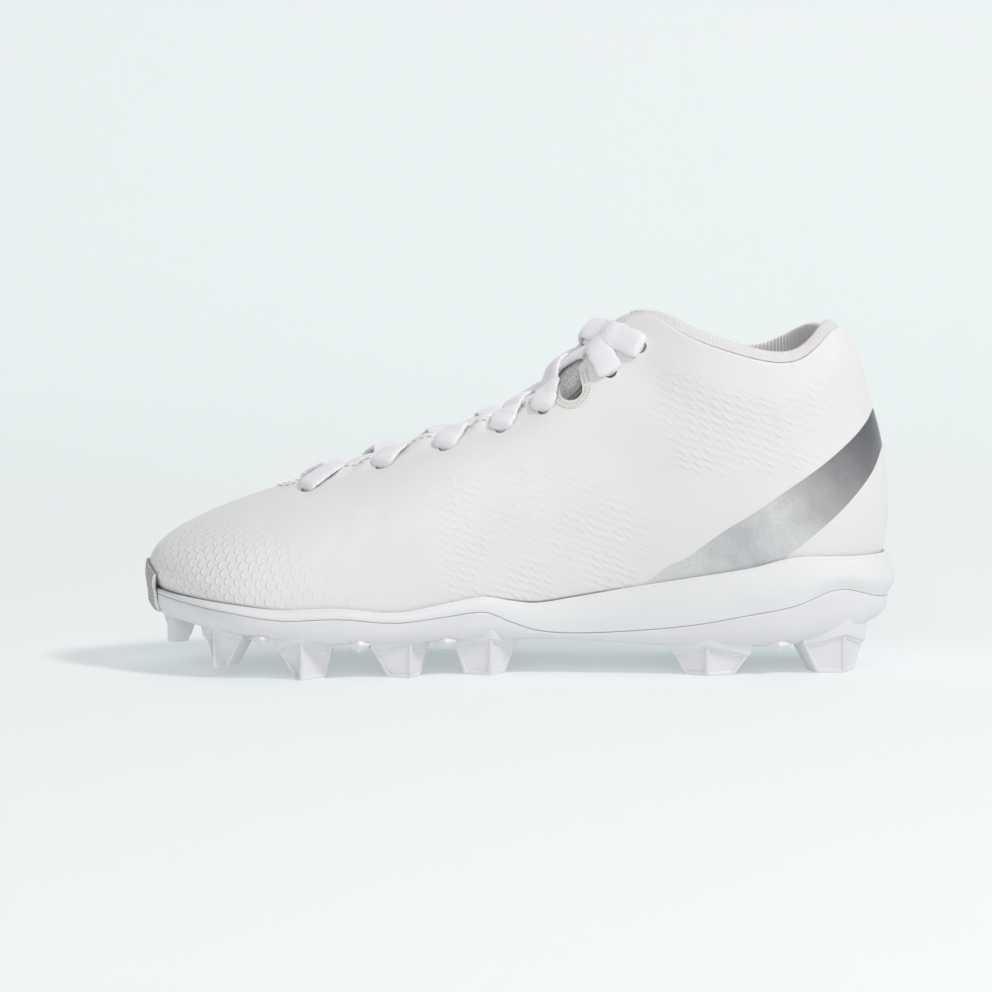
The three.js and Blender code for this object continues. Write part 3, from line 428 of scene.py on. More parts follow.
def closed_rings(name, rings):
    """A closed solid from rings (rows, columns, 3): a skin with a fan at each end."""
    rows, columns, _ = rings.shape
    faces = grid_faces(rows, columns, close_columns=True).tolist()
    points = np.concatenate([rings.reshape(-1, 3), [rings[0].mean(0), rings[-1].mean(0)]])
    first, last, top = rows * columns, rows * columns + 1, (rows - 1) * columns
    for c in range(columns):
        d = (c + 1) % columns
        faces += [[first, d, c], [last, top + c, top + d]]
    around_mm, up_mm = np.zeros((2, rows, columns + 1))
    around_mm[:, 1:] = np.cumsum(norm(np.roll(rings, -1, 1) - rings, axis=-1).mean(0))
    up_mm[1:] = np.cumsum(norm(np.diff(rings, axis=0), axis=-1).mean(1))[:, None]
    uv = grid_uv(rows, columns, around_mm, up_mm, close_columns=True)
    uv = np.concatenate([uv, np.zeros((columns * 6, 2))])
    return recalc(new_object(name, points, faces, uv=uv))


def add_modifier(obj, kind, **values):
    made = obj.modifiers.new(kind.lower(), kind)
    for key, value in values.items():
        setattr(made, key, value)
    return made


def apply_modifiers(obj):
    depsgraph = bpy.context.evaluated_depsgraph_get()
    baked = bpy.data.meshes.new_from_object(obj.evaluated_get(depsgraph))
    old = obj.data
    obj.modifiers.clear()
    obj.data = baked
    bpy.data.meshes.remove(old)
    return obj


def join(name, parts):
    with bpy.context.temp_override(
        active_object=parts[0], selected_editable_objects=parts, object=parts[0]
    ):
        bpy.ops.object.join()
    parts[0].name = name
    parts[0].data.name = name
    return parts[0]


def round_edges(obj, width, sharp, **limit):
    add_modifier(obj, "BEVEL", width=width * MM, segments=3, **limit)
    apply_modifiers(obj)
    obj.data.shade_smooth()
    obj.data.set_sharp_from_angle(angle=radians(sharp))
    return obj


def settle(obj, material, slot, *nodes):
    """Gives a finished piece its material and body, and hides the CAD nodes it stands for; slot is
    not used.
    """
    obj.data.materials.clear()
    obj.data.materials.append(material)
    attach(obj, "root")
    if nodes:
        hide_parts(*nodes)
    return obj


class Shader:
    """A material under construction: short names for the nodes it uses."""

    def __init__(self, name, color, roughness, **values):
        self.material = bpy.data.materials.new(name)
        self.material.use_nodes = True
        self.tree = self.material.node_tree
        self.bump = None
        self.set(Base_Color=color, Roughness=roughness, **values)

    def feed(self, socket, value):
        if isinstance(value, bpy.types.NodeSocket):
            self.tree.links.new(value, socket)
        else:
            socket.default_value = (*value, 1) if isinstance(value, tuple) else value

    def set(self, **values):
        for key, value in values.items():
            self.feed(self.tree.nodes["Principled BSDF"].inputs[key.replace("_", " ")], value)

    def node(self, kind, values=None, **properties):
        made = self.tree.nodes.new("ShaderNode" + kind)
        for key, value in properties.items():
            setattr(made, key, value)
        for key, value in (values or {}).items():
            self.feed(made.inputs[key], value)
        return made

    def math(self, operation, *values):
        return self.node("Math", dict(enumerate(values)), operation=operation).outputs[0]

    def times(self, value, *more):
        for factor in more:
            value = self.math("MULTIPLY", value, factor)
        return value

    def plus(self, a, factor, b):
        return self.math("MULTIPLY_ADD", a, factor, b)

    def wave(self, value, period):
        return self.math("SINE", self.times(value, 2 * pi / period))

    def attribute(self, name):
        return self.node("Attribute", attribute_name=name).outputs["Fac"]

    def scale(self, vector, factor):
        values = {0: vector, "Scale": factor}
        return self.node("VectorMath", values, operation="SCALE").outputs[0]

    def position(self):
        """The piece's own coordinates, in mm."""
        return self.scale(self.node("TexCoord").outputs["Object"], 1 / MM)

    def xyz(self, vector=None):
        vector = self.position() if vector is None else vector
        return self.node("SeparateXYZ", {0: vector}).outputs

    def uv(self):
        return self.xyz(self.node("UVMap", uv_map="UVMap").outputs[0])

    def join(self, x, y, z=0.0):
        return self.node("CombineXYZ", {0: x, 1: y, 2: z}).outputs[0]

    def noise(self, scale, detail=2.0, roughness=0.5, place=None):
        place = self.position() if place is None else place
        values = {"Vector": place, "Scale": scale, "Detail": detail, "Roughness": roughness}
        return self.node("TexNoise", values).outputs["Fac"]

    def range(self, value, lo, hi, to_lo=0.0, to_hi=1.0, kind="LINEAR"):
        values = dict(enumerate((value, lo, hi, to_lo, to_hi)))
        return self.node("MapRange", values, interpolation_type=kind).outputs[0]

    def soft(self, *values):
        return self.range(*values, kind="SMOOTHSTEP")

    def blend(self, factor, a, b):
        return self.node("Mix", {"Factor": factor, 6: a, 7: b}, data_type="RGBA").outputs[2]

    def ramp(self, value, stops):
        made = self.node("ValToRGB", {0: value})
        elements = made.color_ramp.elements
        while len(elements) < len(stops):
            elements.new(0.5)
        for element, (at, *color) in zip(elements, stops):
            element.position = at
            element.color = (*color, 1)
        return made.outputs[0]

    def relief(self, height, share=1.0):
        """Adds a relief of height times share, in mm."""
        values = {"Height": self.times(height, share, MM), "Strength": 1.0, "Distance": 1.0}
        if self.bump is not None:
            values["Normal"] = self.bump
        self.bump = self.node("Bump", values).outputs[0]
        self.set(Normal=self.bump)

    def done(self, color, **values):
        self.set(Base_Color=color, **values)
        return self.material


WHITE = (0.86, 0.86, 0.855)
WARM_WHITE = (0.86, 0.85, 0.825)
# The silver band's colour along its length is painted reflection: dark grey at the top and back,
# bright in the middle, pale near the bottom.
SILVER_PAINTED_REFLECTION = [
    (0.0, 0.14, 0.142, 0.155),
    (0.12, 0.25, 0.252, 0.265),
    (0.26, 0.46, 0.462, 0.475),
    (0.42, 0.74, 0.745, 0.755),
    (0.53, 0.56, 0.565, 0.585),
    (0.68, 0.67, 0.675, 0.68),
    (0.84, 0.66, 0.665, 0.67),
    (1.0, 0.74, 0.745, 0.74),
]


def upper_material():
    s = Shader("upper_mesh", WHITE, 0.5, Sheen_Weight=0.08, Sheen_Roughness=0.5)
    u, v, _ = s.uv()
    x, y, z = s.xyz()

    # Forefoot: scales, each with a bowed ridge on its toe side, each row half a cell further.
    rows = s.math("DIVIDE", v, SCALE_CELL)
    column = s.plus(s.math("FLOOR", rows), SCALE_CELL / 2, s.plus(v, 0.12, u))
    column = s.math("DIVIDE", s.plus(s.noise(0.10, 1.0), 1.6, column), SCALE_CELL)
    row = s.math("FRACT", rows)
    middle = s.math("SUBTRACT", row, 0.5)
    cell = s.math("FRACT", s.math("SUBTRACT", column, s.times(middle, middle, 0.7)))
    ridge = s.times(s.soft(cell, 0.0, 0.10), s.soft(cell, 0.10, 0.34, 1.0, 0.0))
    ends = s.soft(s.math("PINGPONG", row, 0.5), 0.01, 0.13)
    swell = s.times(s.math("SUBTRACT", 1.0, cell), 0.3)
    zone = s.attribute("scale_zone")
    scales = s.times(s.math("ADD", ridge, swell), s.range(ends, 0, 1, 0.3, 1), zone)

    # Midfoot and ankle: fine broken ridges that slope down towards the heel.
    drift = s.noise(1.0, 1.0, place=s.join(s.times(x, 0.16), y, s.times(z, 0.3)))
    phase = s.plus(drift, 3.0, s.plus(x, RIDGE_SLOPE, z))
    waves = s.plus(s.wave(phase, RIDGE_PERIOD), 0.5, 0.5)
    beads = s.range(s.math("SINE", s.plus(x, 1.25, s.times(phase, 2.1))), -1, 1, 0.3, 1)
    patchy = s.soft(s.noise(0.05, 1.0), 0.35, 0.6, 0.35, 1.0)
    chain = s.times(waves, beads, patchy, s.attribute("wave_zone"))

    # The silver band round the heel, its colour a ramp of painted reflection; the bound edge beside
    # the throat; a painted shadow line along the glued seam.
    band_t = s.attribute("band_t")
    band = s.times(s.soft(s.attribute("band"), -0.12, 0.12), s.soft(band_t, 0.74, 0.95, 1.0, 0.0))
    clouds = s.range(s.noise(0.11), 0.35, 0.65, 0.94, 1.06)
    sparkle = s.range(s.noise(2.6), 0.35, 0.65, 0.90, 1.10)
    # Painted reflection: the band's colour is set by where it lies along the band.
    silver_with_painted_reflection = s.scale(s.ramp(band_t, SILVER_PAINTED_REFLECTION), s.times(clouds, sparkle))
    bound = s.soft(s.attribute("bound_mm"), 3.1, 3.5, 1.0, 0.0)
    # Painted shadow: a thin dark line on the upper just above the midsole's lip, in two stretches.
    painted_seam_shadow = s.times(s.soft(s.attribute("above_lip"), 0.1, 0.9, 1.0, 0.0), s.attribute("seam_shadow_zone"))
    broad = s.range(s.noise(0.035), 0.35, 0.65)
    tint = s.blend(broad, (0.855, 0.856, 0.853), (0.835, 0.836, 0.828))
    # Painted highlight: the scales' ridges are coloured lighter than the rest of the upper.
    tint = s.blend(s.times(ridge, zone, 0.7), tint, (0.93, 0.93, 0.925))
    tint = s.blend(bound, tint, WARM_WHITE)
    tint = s.blend(painted_seam_shadow, tint, (0.20, 0.20, 0.195))
    tint = s.blend(s.attribute("inner"), tint, (0.60, 0.58, 0.59))
    for height, share in ((scales, 0.27), (chain, 0.23), (s.noise(1.6, 3.0), 0.035),
                          (band, 0.08), (bound, 0.22)):
        s.relief(height, share)
    return s.done(s.blend(band, tint, silver_with_painted_reflection), Metallic=s.times(band, 0.35),
                  Roughness=s.range(band, 0, 1, 0.5, 0.36))


def knitted(s, u, v, wale, course, lean, low, fuzz, reliefs, span, marl, shades):
    """Rib knit in the piece's own surface coordinates."""
    leaning = s.times(s.math("PINGPONG", u, lean[0]), lean[1])
    rows = s.range(s.wave(s.math("ADD", v, leaning), course), -1, 1, low, 1)
    loop = s.times(s.plus(s.wave(u, wale), 0.5, 0.5), rows)
    fuzz = s.noise(*fuzz)
    s.relief(loop, reliefs[0])
    s.relief(fuzz, reliefs[1])
    shade = s.blend(s.range(loop, *span), *shades[:2])
    return s.done(s.blend(s.range(fuzz, *marl), shade, shades[2]))


def knit_material():
    """Fine rib knit, its ribs square to the collar's edge."""
    s = Shader("knit", (0.80, 0.78, 0.785), 0.9, Sheen_Weight=0.35, Sheen_Roughness=0.45)
    v, u, _ = s.uv()
    shades = (0.80, 0.78, 0.785), (0.90, 0.885, 0.89), (0.93, 0.915, 0.92)
    return knitted(s, u, v, 0.88, 0.9, (0.5, 1.1), 0.4, (2.2, 3.0), (0.16, 0.10), (0, 1),
                   (0.3, 0.7, 0, 0.35), shades)


def tongue_material():
    """Coarser marled knit, grey and off-white."""
    s = Shader("tongue_knit", (0.55, 0.54, 0.55), 0.95, Sheen_Weight=0.3, Sheen_Roughness=0.5)
    u, v, _ = s.uv()
    shades = (0.56, 0.55, 0.555), (0.90, 0.89, 0.895), (0.94, 0.93, 0.935)
    return knitted(s, u, v, 1.6, 1.3, (0.8, 1.2), 0.3, (0.9, 3.0, 0.7), (0.35, 0.2), (0.1, 0.9),
                   (0.40, 0.62), shades)


def lace_material():
    s = Shader("lace_cord", (0.88, 0.87, 0.91), 0.72, Sheen_Weight=0.35, Sheen_Roughness=0.4)
    u, v, _ = s.uv()
    braid = s.wave(s.math("ADD", v, s.math("PINGPONG", u, 1.2)), 1.1)
    weave = s.times(braid, s.wave(u, 1.2))
    s.relief(weave, 0.035)
    s.relief(s.noise(0.5), 0.25)
    return s.done(s.blend(s.range(weave, -1, 1), (0.87, 0.86, 0.90), (0.96, 0.95, 0.985)))


def moulded(s, fine, broad, shades, gloss):
    """A faint grain, and a shade that drifts a little."""
    fine = s.noise(fine)
    s.relief(fine, 0.02)
    shade = s.blend(s.range(s.noise(broad), 0.35, 0.65), *shades)
    return s.done(shade, Roughness=s.range(fine, 0.3, 0.7, *gloss))


def foam_material():
    s = Shader("midsole_foam", (0.84, 0.855, 0.87), 0.55, Coat_Weight=0.04, Coat_Roughness=0.4)
    return moulded(s, 2.6, 0.03, ((0.85, 0.862, 0.872), (0.825, 0.838, 0.855)), (0.5, 0.6))


def plate_material():
    s = Shader("plate_plastic", (0.80, 0.79, 0.82), 0.36, Coat_Weight=0.15, Coat_Roughness=0.25)
    return moulded(s, 1.3, 0.04, ((0.82, 0.815, 0.84), (0.79, 0.785, 0.815)), (0.32, 0.42))


def bumper_material():
    s = Shader("bumper_rubber", (0.72, 0.71, 0.69), 0.6)
    u, v, _ = s.uv()
    dots = s.node("TexVoronoi", {"Vector": s.join(u, v), "Scale": 0.62, "Randomness": 0.1})
    dot = s.soft(dots.outputs["Distance"], 0.1, 0.45, 1.0, 0.0)
    s.relief(dot, 0.5)
    return s.done(s.blend(dot, (0.44, 0.435, 0.42), (0.84, 0.83, 0.81)))


def insole_material():
    s = Shader("insole_fabric", (0.60, 0.60, 0.62), 0.9, Sheen_Weight=0.3)
    x, y, _ = s.xyz()
    weave = s.times(s.wave(x, 0.9), s.wave(y, 0.9))
    s.relief(weave, 0.06)
    return s.done(s.blend(s.range(weave, -1, 1), (0.52, 0.52, 0.54), (0.66, 0.66, 0.68)))


def thread_material():
    s = Shader("thread", (0.60, 0.60, 0.60), 0.8, Sheen_Weight=0.3)
    return s.done(s.blend(s.noise(3.0, 1.0), (0.46, 0.46, 0.46), (0.70, 0.70, 0.70)))


# The photograph's camera, to place the band and the reliefs on the near side.
EYE_DISTANCE, EYE_TILT = 2500.0, radians(7.0)
EYE_TARGET = np.array([-9.4, 0.0, 67.6])
PIXEL = 0.4


def photo_pixel(points):
    """Where a point of the near side shows in the 992 x 992 frame."""
    p = points - EYE_TARGET
    depth = p[..., 1] * cos(EYE_TILT) - p[..., 2] * sin(EYE_TILT) + EYE_DISTANCE
    rise = p[..., 1] * sin(EYE_TILT) + p[..., 2] * cos(EYE_TILT)
    scale = EYE_DISTANCE / depth / PIXEL
    return np.stack([496 + p[..., 0] * scale, 496 - rise * scale], -1)


def beside_line(pixels, line):
    """Signed distance in mm to a line of pixels, positive on its right, and the share along it."""
    line = np.array(line, float)
    start = running_length(line)
    best = np.full(pixels.shape[:-1], 1e9)
    sign, share = np.ones(best.shape), np.zeros(best.shape)
    for i, (a, b) in enumerate(zip(line[:-1], line[1:])):
        ab, rel = b - a, pixels - a
        t = np.clip(rel @ ab / (ab @ ab), 0, 1)
        distance = norm(rel - t[..., None] * ab, axis=-1)
        nearer = distance < best
        best = np.where(nearer, distance, best)
        sign = np.where(nearer, np.sign(ab[0] * rel[..., 1] - ab[1] * rel[..., 0]), sign)
        share = np.where(nearer, mix(start[i], start[i + 1], t) / start[-1], share)
    return best * sign * PIXEL, share


BAND_TOP = [(560, 618), (640, 585), (668, 566.5), (688, 557), (723, 532), (751, 515), (779, 496),
            (821, 466.5), (850, 441), (866, 422), (872.6, 408), (878, 392)]
BAND_BOTTOM = [(740, 596), (782, 561), (793.5, 552), (821, 529.5), (847, 505), (871, 474),
               (882, 446), (888, 420)]
BAND_LENGTH = [(600, 605), (700, 560), (760, 532), (820, 492), (856, 456), (880, 425)]


UPPER_AROUND, UPPER_UP, UPPER_IN, EDGE_STEPS = 600, 112, 20, 5


def eyelet_place(u, inset):
    w = share_below_edge(np.array(u), inset * EYELET_INSET)
    return upper_point(u, w), upper_normal(u, w)


def notch_frame(mouth, end):
    start = upper_point(mouth, 1.0)
    axis = upper_point(end, share_below_edge(np.array(end), NOTCH_DEPTH)) - start
    length = norm(axis)
    axis = axis / length
    normal = upper_normal(end, share_below_edge(np.array(end), 0.4 * NOTCH_DEPTH))
    side = unit(np.cross(axis, normal))
    return start, axis, side, length


def own_share(row, side):
    """Where along the throat an eyelet stands, as a share from the ankle to the toe."""
    return (EYELETS[row][side] - CORNERS[side]) / (THROAT_FRONT[side] - CORNERS[side])


def eyestay_lift(u, inset):
    """The throat's lip stands up between the laces and is pressed down under each of them."""
    lift = np.zeros(np.shape(inset))
    for side in (0, 1):
        r = (u - CORNERS[side]) / (THROAT_FRONT[side] - CORNERS[side])
        pressed = 0.0
        for row in range(5):
            at = mix(own_share(row, side), EYELETS[row][3], LACE_LEAN)
            pressed = np.maximum(pressed, np.exp(-(((r - at) * THROAT_LENGTH / 8.0) ** 4)))
        height = mix(EYESTAY_LIFT[side], EYESTAY_PRESSED, pressed)
        height = height - 2.4 * np.exp(-(((r - 0.735) / 0.03) ** 2))
        height = height * smooth((r - 0.195) / 0.05) * smooth((0.97 - r) / 0.14)
        lift = lift + np.maximum(height, 0) * smooth(1 - inset / 11.5)
    return lift


def creases(u, w):
    """Soft troughs and swells of the moulded upper, in mm, out along its normal."""
    p = upper_point(u, w)
    x, z = p[..., 0], p[..., 2]
    inset = (1 - w) * rib_length(u)
    in_collar = np.where(u < 0.5, smooth((CORNERS[0] - u) / 0.05), smooth((u - CORNERS[1]) / 0.05))
    puff = 0.55 * in_collar * np.exp(-(((inset - 13) / 8.0) ** 2))
    dip = -0.30 * in_collar * np.exp(-(((inset - 27) / 7.0) ** 2))
    flex = 0.0
    for at, deep, width in ((-62, 0.35, 5.0), (-49, 0.28, 4.5), (-74, 0.2, 4.0)):
        line = x - at - 0.35 * (z - 50)
        fade = smooth((z - 34) / 12) * smooth((74 - z) / 14)
        flex = flex - deep * np.exp(-((line / width) ** 2)) * fade
    ankle = -0.5 * np.exp(-(((x - 32) / 14) ** 2) - (((z - 92) / 12) ** 2))
    return puff + dip + flex + ankle + eyestay_lift(u, inset)


def zone(*steps):
    """A product of soft steps, each from 0 where its value is 0 to 1 at its span."""
    product = 1.0
    for value, span in steps:
        product = product * smooth(value / span)
    return product


def make_upper():
    u = around(UPPER_AROUND, 0.3)
    reach = rib_length(u)
    lead = 1 - 0.9 / reach
    rows, shares = [], []

    def add(w, points):
        shares.append(w)
        rows.append(points)

    for k in range(UPPER_UP):
        w = lead * k / (UPPER_UP - 1)
        add(w, upper_offset(u, w, creases(u, w)))
    top, n = upper_point(u, lead), upper_normal(u, lead)
    rise = unit(upper_point(u, 1.0) - upper_point(u, 0.97))
    for turn in pi * np.arange(1, EDGE_STEPS + 1) / (EDGE_STEPS + 1):
        swing = n * (cos(turn) - 1) * WALL / 2 + rise * sin(turn) * 0.9
        stays = mix(eyestay_lift(u, (1 - lead) * reach), creases(u, lead), (1 + cos(turn)) / 2)
        add(lead, top + swing + n * stays[:, None])
    for k in range(UPPER_IN):
        w = lead * (1 - k / (UPPER_IN - 1))
        add(w, upper_offset(u, w, eyestay_lift(u, (1 - w) * reach) - WALL))
    rings, ws = np.array(rows), np.array(shares)
    count = len(rings)
    uu = np.broadcast_to(u, ws.shape)
    inset = (1 - ws) * reach
    inner = (np.arange(count) >= UPPER_UP + EDGE_STEPS // 2 + 1)[:, None] * np.ones(ws.shape)

    # Both sides are seen as the near one, so the lateral side repeats the medial side.
    pixels = photo_pixel(rings * [1, 0, 1] - np.abs(rings) * [0, 1, 0])
    px, py = pixels[..., 0], pixels[..., 1]
    edges = [catmull(np.array(line, float), 60) for line in (BAND_TOP, BAND_BOTTOM)]
    band = np.minimum(beside_line(pixels, edges[0])[0], -beside_line(pixels, edges[1])[0])
    band = np.where(inner > 0.5, -5, band)

    scale_zone = zone((375 - px, 190), (py - 468 - 0.12 * (px - 150), 100))
    scale_zone = np.maximum(scale_zone, 0.16 * zone((500 - px, 120), (py - 480, 60)))
    scale_zone *= zone((ws * reach - 4.5, 2.0))
    diagonal = beside_line(pixels, [(500, 398), (560, 440), (700, 522), (800, 590)])[0]
    below = beside_line(pixels, [(700, 470), (780, 480), (830, 450)])[0]
    mid = zone((px - 400, 70), (py - 440, 50), (680 - px, 60), (diagonal - 4, 8))
    ankle = zone((px - 632, 40), (878 - px, 24), (py - 352, 20), (-diagonal - 6, 10),
                 (inset - 9, 5), (6 - below, 8))
    heel = zone((px - 800, 30), (py - 470, 30))
    wave_zone = np.maximum(np.maximum(mid * 0.9, ankle), 0.45 * heel) * zone((-band, 0.8))
    # Where the painted shadow line above the midsole's lip shows, and how strongly.
    seam_shadow_zone = np.maximum(0.75 * zone((px - 488, 30), (650 - px, 60)),
                           0.6 * zone((300 - px, 60), (px - 150, 20)))

    bound = np.full(ws.shape, 50.0)
    for notch in NOTCHES:
        start, axis, side, length = notch_frame(*notch)
        rel = rings - start
        a = np.clip(rel @ axis, -5, length - NOTCH_WIDTH / 2)
        away = np.hypot(rel @ axis - a, rel @ side) - NOTCH_WIDTH / 2
        bound = np.where(norm(rel, axis=-1) < 45, np.minimum(bound, away), bound)
    in_throat = (uu > CORNERS[0] + 0.004) & (uu < CORNERS[1] - 0.004)
    bound = np.where(in_throat, np.minimum(bound, inset + 2.2), bound)

    low_ring = rings[UPPER_UP // 6]
    around_mm = np.zeros((count + 1, UPPER_AROUND + 1))
    around_mm[:, 1:] = np.cumsum(norm(np.roll(low_ring, -1, 0) - low_ring, axis=-1))
    around_mm = np.abs(around_mm - around_mm[0, int(np.argmin(low_ring[:, 0]))])
    up_mm = np.pad(ws * reach, ((0, 1), (0, 1)), mode="wrap")
    faces = grid_faces(count, UPPER_AROUND, True, True)
    uv = grid_uv(count, UPPER_AROUND, around_mm, up_mm, True, True)
    values = {
        "band": band,
        "band_t": 1 - beside_line(pixels, BAND_LENGTH)[1],
        "scale_zone": scale_zone,
        "wave_zone": wave_zone,
        "bound_mm": bound,
        "above_lip": rings[..., 2] - level["edge"](along(uu)),
        "seam_shadow_zone": seam_shadow_zone,
        "inner": inner,
    }
    return recalc(new_object("upper_shell", rings.reshape(-1, 3), faces, values, uv))


def make_punches():
    """The tools that cut the eyelets and the flex notches: round rods and round-ended slots."""
    parts = []

    def prism(outline, axis_x, axis_y, centre, half_depth):
        plan = centre + np.array(outline) @ np.array([axis_x, axis_y])
        deep = np.cross(axis_x, axis_y) * half_depth
        parts.append(closed_rings("punch", np.array([plan - deep, plan + deep])))

    turn = np.linspace(0, 2 * pi, 20, endpoint=False)
    circle = np.stack([np.cos(turn), np.sin(turn)], -1) * EYELET_DIAMETER / 2
    for medial, lateral, inset, _ in EYELETS:
        for u in (medial, lateral):
            centre, normal = eyelet_place(u, inset)
            side = unit(np.cross(normal, [0, 0, 1.0]))
            prism(circle, side, np.cross(normal, side), centre, 4.5 * WALL)
    half = NOTCH_WIDTH / 2
    for notch in NOTCHES:
        start, axis, side, length = notch_frame(*notch)
        arc = np.linspace(-pi / 2, pi / 2, 13)
        round_end = [(length - half + half * cos(t), half * sin(t)) for t in arc]
        prism([(-length, -half), *round_end, (-length, half)], axis, side, start, NOTCH_DEPTH)
    punches = join("punches", parts)
    punches.data.shade_flat()
    return punches


def cut_upper(upper):
    punches = make_punches()
    add_modifier(upper, "BOOLEAN", operation="DIFFERENCE", object=punches, solver="MANIFOLD")
    apply_modifiers(upper)
    bpy.data.objects.remove(punches)
    upper.data.set_sharp_from_angle(angle=radians(50))
    return upper


def capsule_chain(name, places, length, thick):
    """Small stitches: a short capsule at each place (centre, direction, normal)."""
    points, faces = [], []
    sections = [(-0.5, 0.25), (-0.42, 0.8), (0.0, 1.0), (0.42, 0.8), (0.5, 0.25)]
    turn = np.linspace(0, 2 * pi, 6, endpoint=False)
    rows, columns = len(sections), len(turn)
    for c, d, n in places:
        s = np.cross(d, n)
        start = len(points)
        for at, share in sections:
            middle = c + d * at * length + n * (thick * 0.35 * (1 - (2 * at) ** 2))
            points += [middle + (s * cos(t) + n * sin(t)) * thick * 0.5 * share for t in turn]
        faces += grid_faces(rows, columns, close_columns=True, start=start).tolist()
        top = start + (rows - 1) * columns
        faces.append(list(range(start, start + columns)))
        faces.append(list(range(top, top + columns))[::-1])
    return recalc(new_object(name, np.array(points), faces))


def make_stitches():
    places = []
    gap = (NOTCHES[0][0], NOTCHES[1][0])
    for lo, hi in ((CORNERS[0] + 0.012, gap[0] - 0.014), (gap[0] + 0.012, gap[1] - 0.012),
                   (gap[1] + 0.014, CORNERS[1] - 0.012)):
        u = np.linspace(lo, hi, 400)
        w = share_below_edge(u, STITCH_INSET)
        p, n = upper_offset(u, w, creases(u, w) + 0.12), upper_normal(u, w)
        run = running_length(p)
        for at in np.arange(STITCH_PITCH / 2, run[-1], STITCH_PITCH):
            c, a, b, m = (
                np.array([np.interp(place, run, curve[:, k]) for k in range(3)])
                for place, curve in ((at, p), (at - 0.5, p), (at + 0.5, p), (at, n))
            )
            places.append((c, unit(b - a), unit(m)))
    throat = capsule_chain("throat_stitches", places, 2.0, 0.5)

    # Overlock stitches round each flex notch: short slanted bars across the bound edge.
    places = []
    half = NOTCH_WIDTH / 2
    for notch in NOTCHES:
        start, axis, side, length = notch_frame(*notch)
        outline = [(a, -side) for a in np.arange(2.0, length - half, 0.9)]
        for t in np.linspace(-1.4, 1.4, 17):
            outline.append((length - half, axis * cos(t) + side * sin(t)))
        outline += [(a, side) for a in np.arange(length - half, 2.0, -0.9)]
        for i, (a, radial) in enumerate(outline):
            for ring, slant in ((2.9, 0.55), (1.3, -0.45)):
                u, w = nearest_share(start + axis * a + radial * (half + ring))
                n = upper_normal(u, w)
                leaning = unit(np.cross(n, radial)) * (slant + 0.3 * (i % 2))
                c = upper_offset(u, w, creases(u, w) + 0.16)
                places.append((c, unit(radial + leaning), n))
    return join("stitches", [throat, capsule_chain("notch_stitches", places, 1.25, 0.36)])


def nearest_share(p):
    """The (u, w) of the outer face nearest to a point near the ankle's throat."""
    spans, count = [(0.24, 0.33) if p[1] < 0 else (0.70, 0.81), (0.6, 1.0)], 61
    for _ in range(3):
        u, w = np.meshgrid(*(np.linspace(*span, count) for span in spans), indexing="ij")
        at = np.unravel_index(np.argmin(norm(upper_point(u, w) - p, axis=-1)), u.shape)
        du, dw = (2 * (hi - lo) / (count - 1) for lo, hi in spans)
        spans = [(u[at] - du, u[at] + du), (w[at] - dw, min(1.0, w[at] + dw))]
        count = 21
    return u[at], w[at]


def throat_shares(r):
    return [mix(CORNERS[k], THROAT_FRONT[k], r) for k in (0, 1)]


def tongue_drop(r):
    return WALL + GAP + drop_curve(r)


def throat_point(r, t, out):
    r, t, out = np.broadcast_arrays(*(np.asarray(q, float) for q in (r, t, out)))
    medial, lateral = throat_shares(r)
    a, b = (upper_offset(u, np.ones(u.shape), -tongue_drop(r)) for u in (medial, lateral))
    normal = unit(upper_normal(medial, 1.0) + upper_normal(lateral, 1.0))
    lift = tongue_crown(r) * 4 * t * (1 - t) + out
    return mix(a, b, t[..., None]) + normal * lift[..., None]


def tongue_row(r, extra):
    """One row across the tongue, from the tip of one wing to the other, sunk by extra."""
    medial, lateral = throat_shares(r)
    wing = tongue_wing(r)

    def side(u):
        k = np.linspace(1, 0.06, 9)
        u = u + 0 * k
        return upper_offset(u, share_below_edge(u, wing * k), -tongue_drop(r) - extra)

    middle = throat_point(r, np.linspace(0.08, 0.92, 27), -extra)
    return np.concatenate([side(medial), middle, side(lateral)[::-1]])


def make_tongue():
    rows = []
    for r in np.arange(TONGUE_STEPS + 1) / TONGUE_STEPS:
        top = tongue_row(r, 0.0)
        bottom = tongue_row(r, TONGUE_THICKNESS)[::-1]
        edge, back = ([mix(a, b, k) for k in (0.25, 0.5, 0.75)]
                      for a, b in ((top[-1], bottom[0]), (bottom[-1], top[0])))
        rows.append(np.concatenate([top, edge, bottom, back]))
    rings = np.array(rows)
    count = rings.shape[1] // 2 - 3
    up = unit(rings[0, count // 2] - rings[1, count // 2])
    centre = rings[0].mean(0)
    tips = []
    share = np.abs(np.linspace(-1, 1, count))
    lift = mix(1.0, 0.30, share**1.6)
    lift = np.concatenate([lift, [0.3] * 3, lift[::-1], [0.3] * 3])
    for k in (0.35, 0.65, 0.85, 0.96, 1.0):
        pinch = 0.16 * k + 0.5 * max(0.0, k - 0.85)
        tips.append(mix(rings[0], centre, pinch * 0.8) + up * (TONGUE_RISE * k * lift)[:, None])
    rings = np.concatenate([np.array(tips[::-1]), rings])
    made = closed_rings("tongue_knit_panel", rings)
    made.data.set_sharp_from_angle(angle=radians(80))
    return made


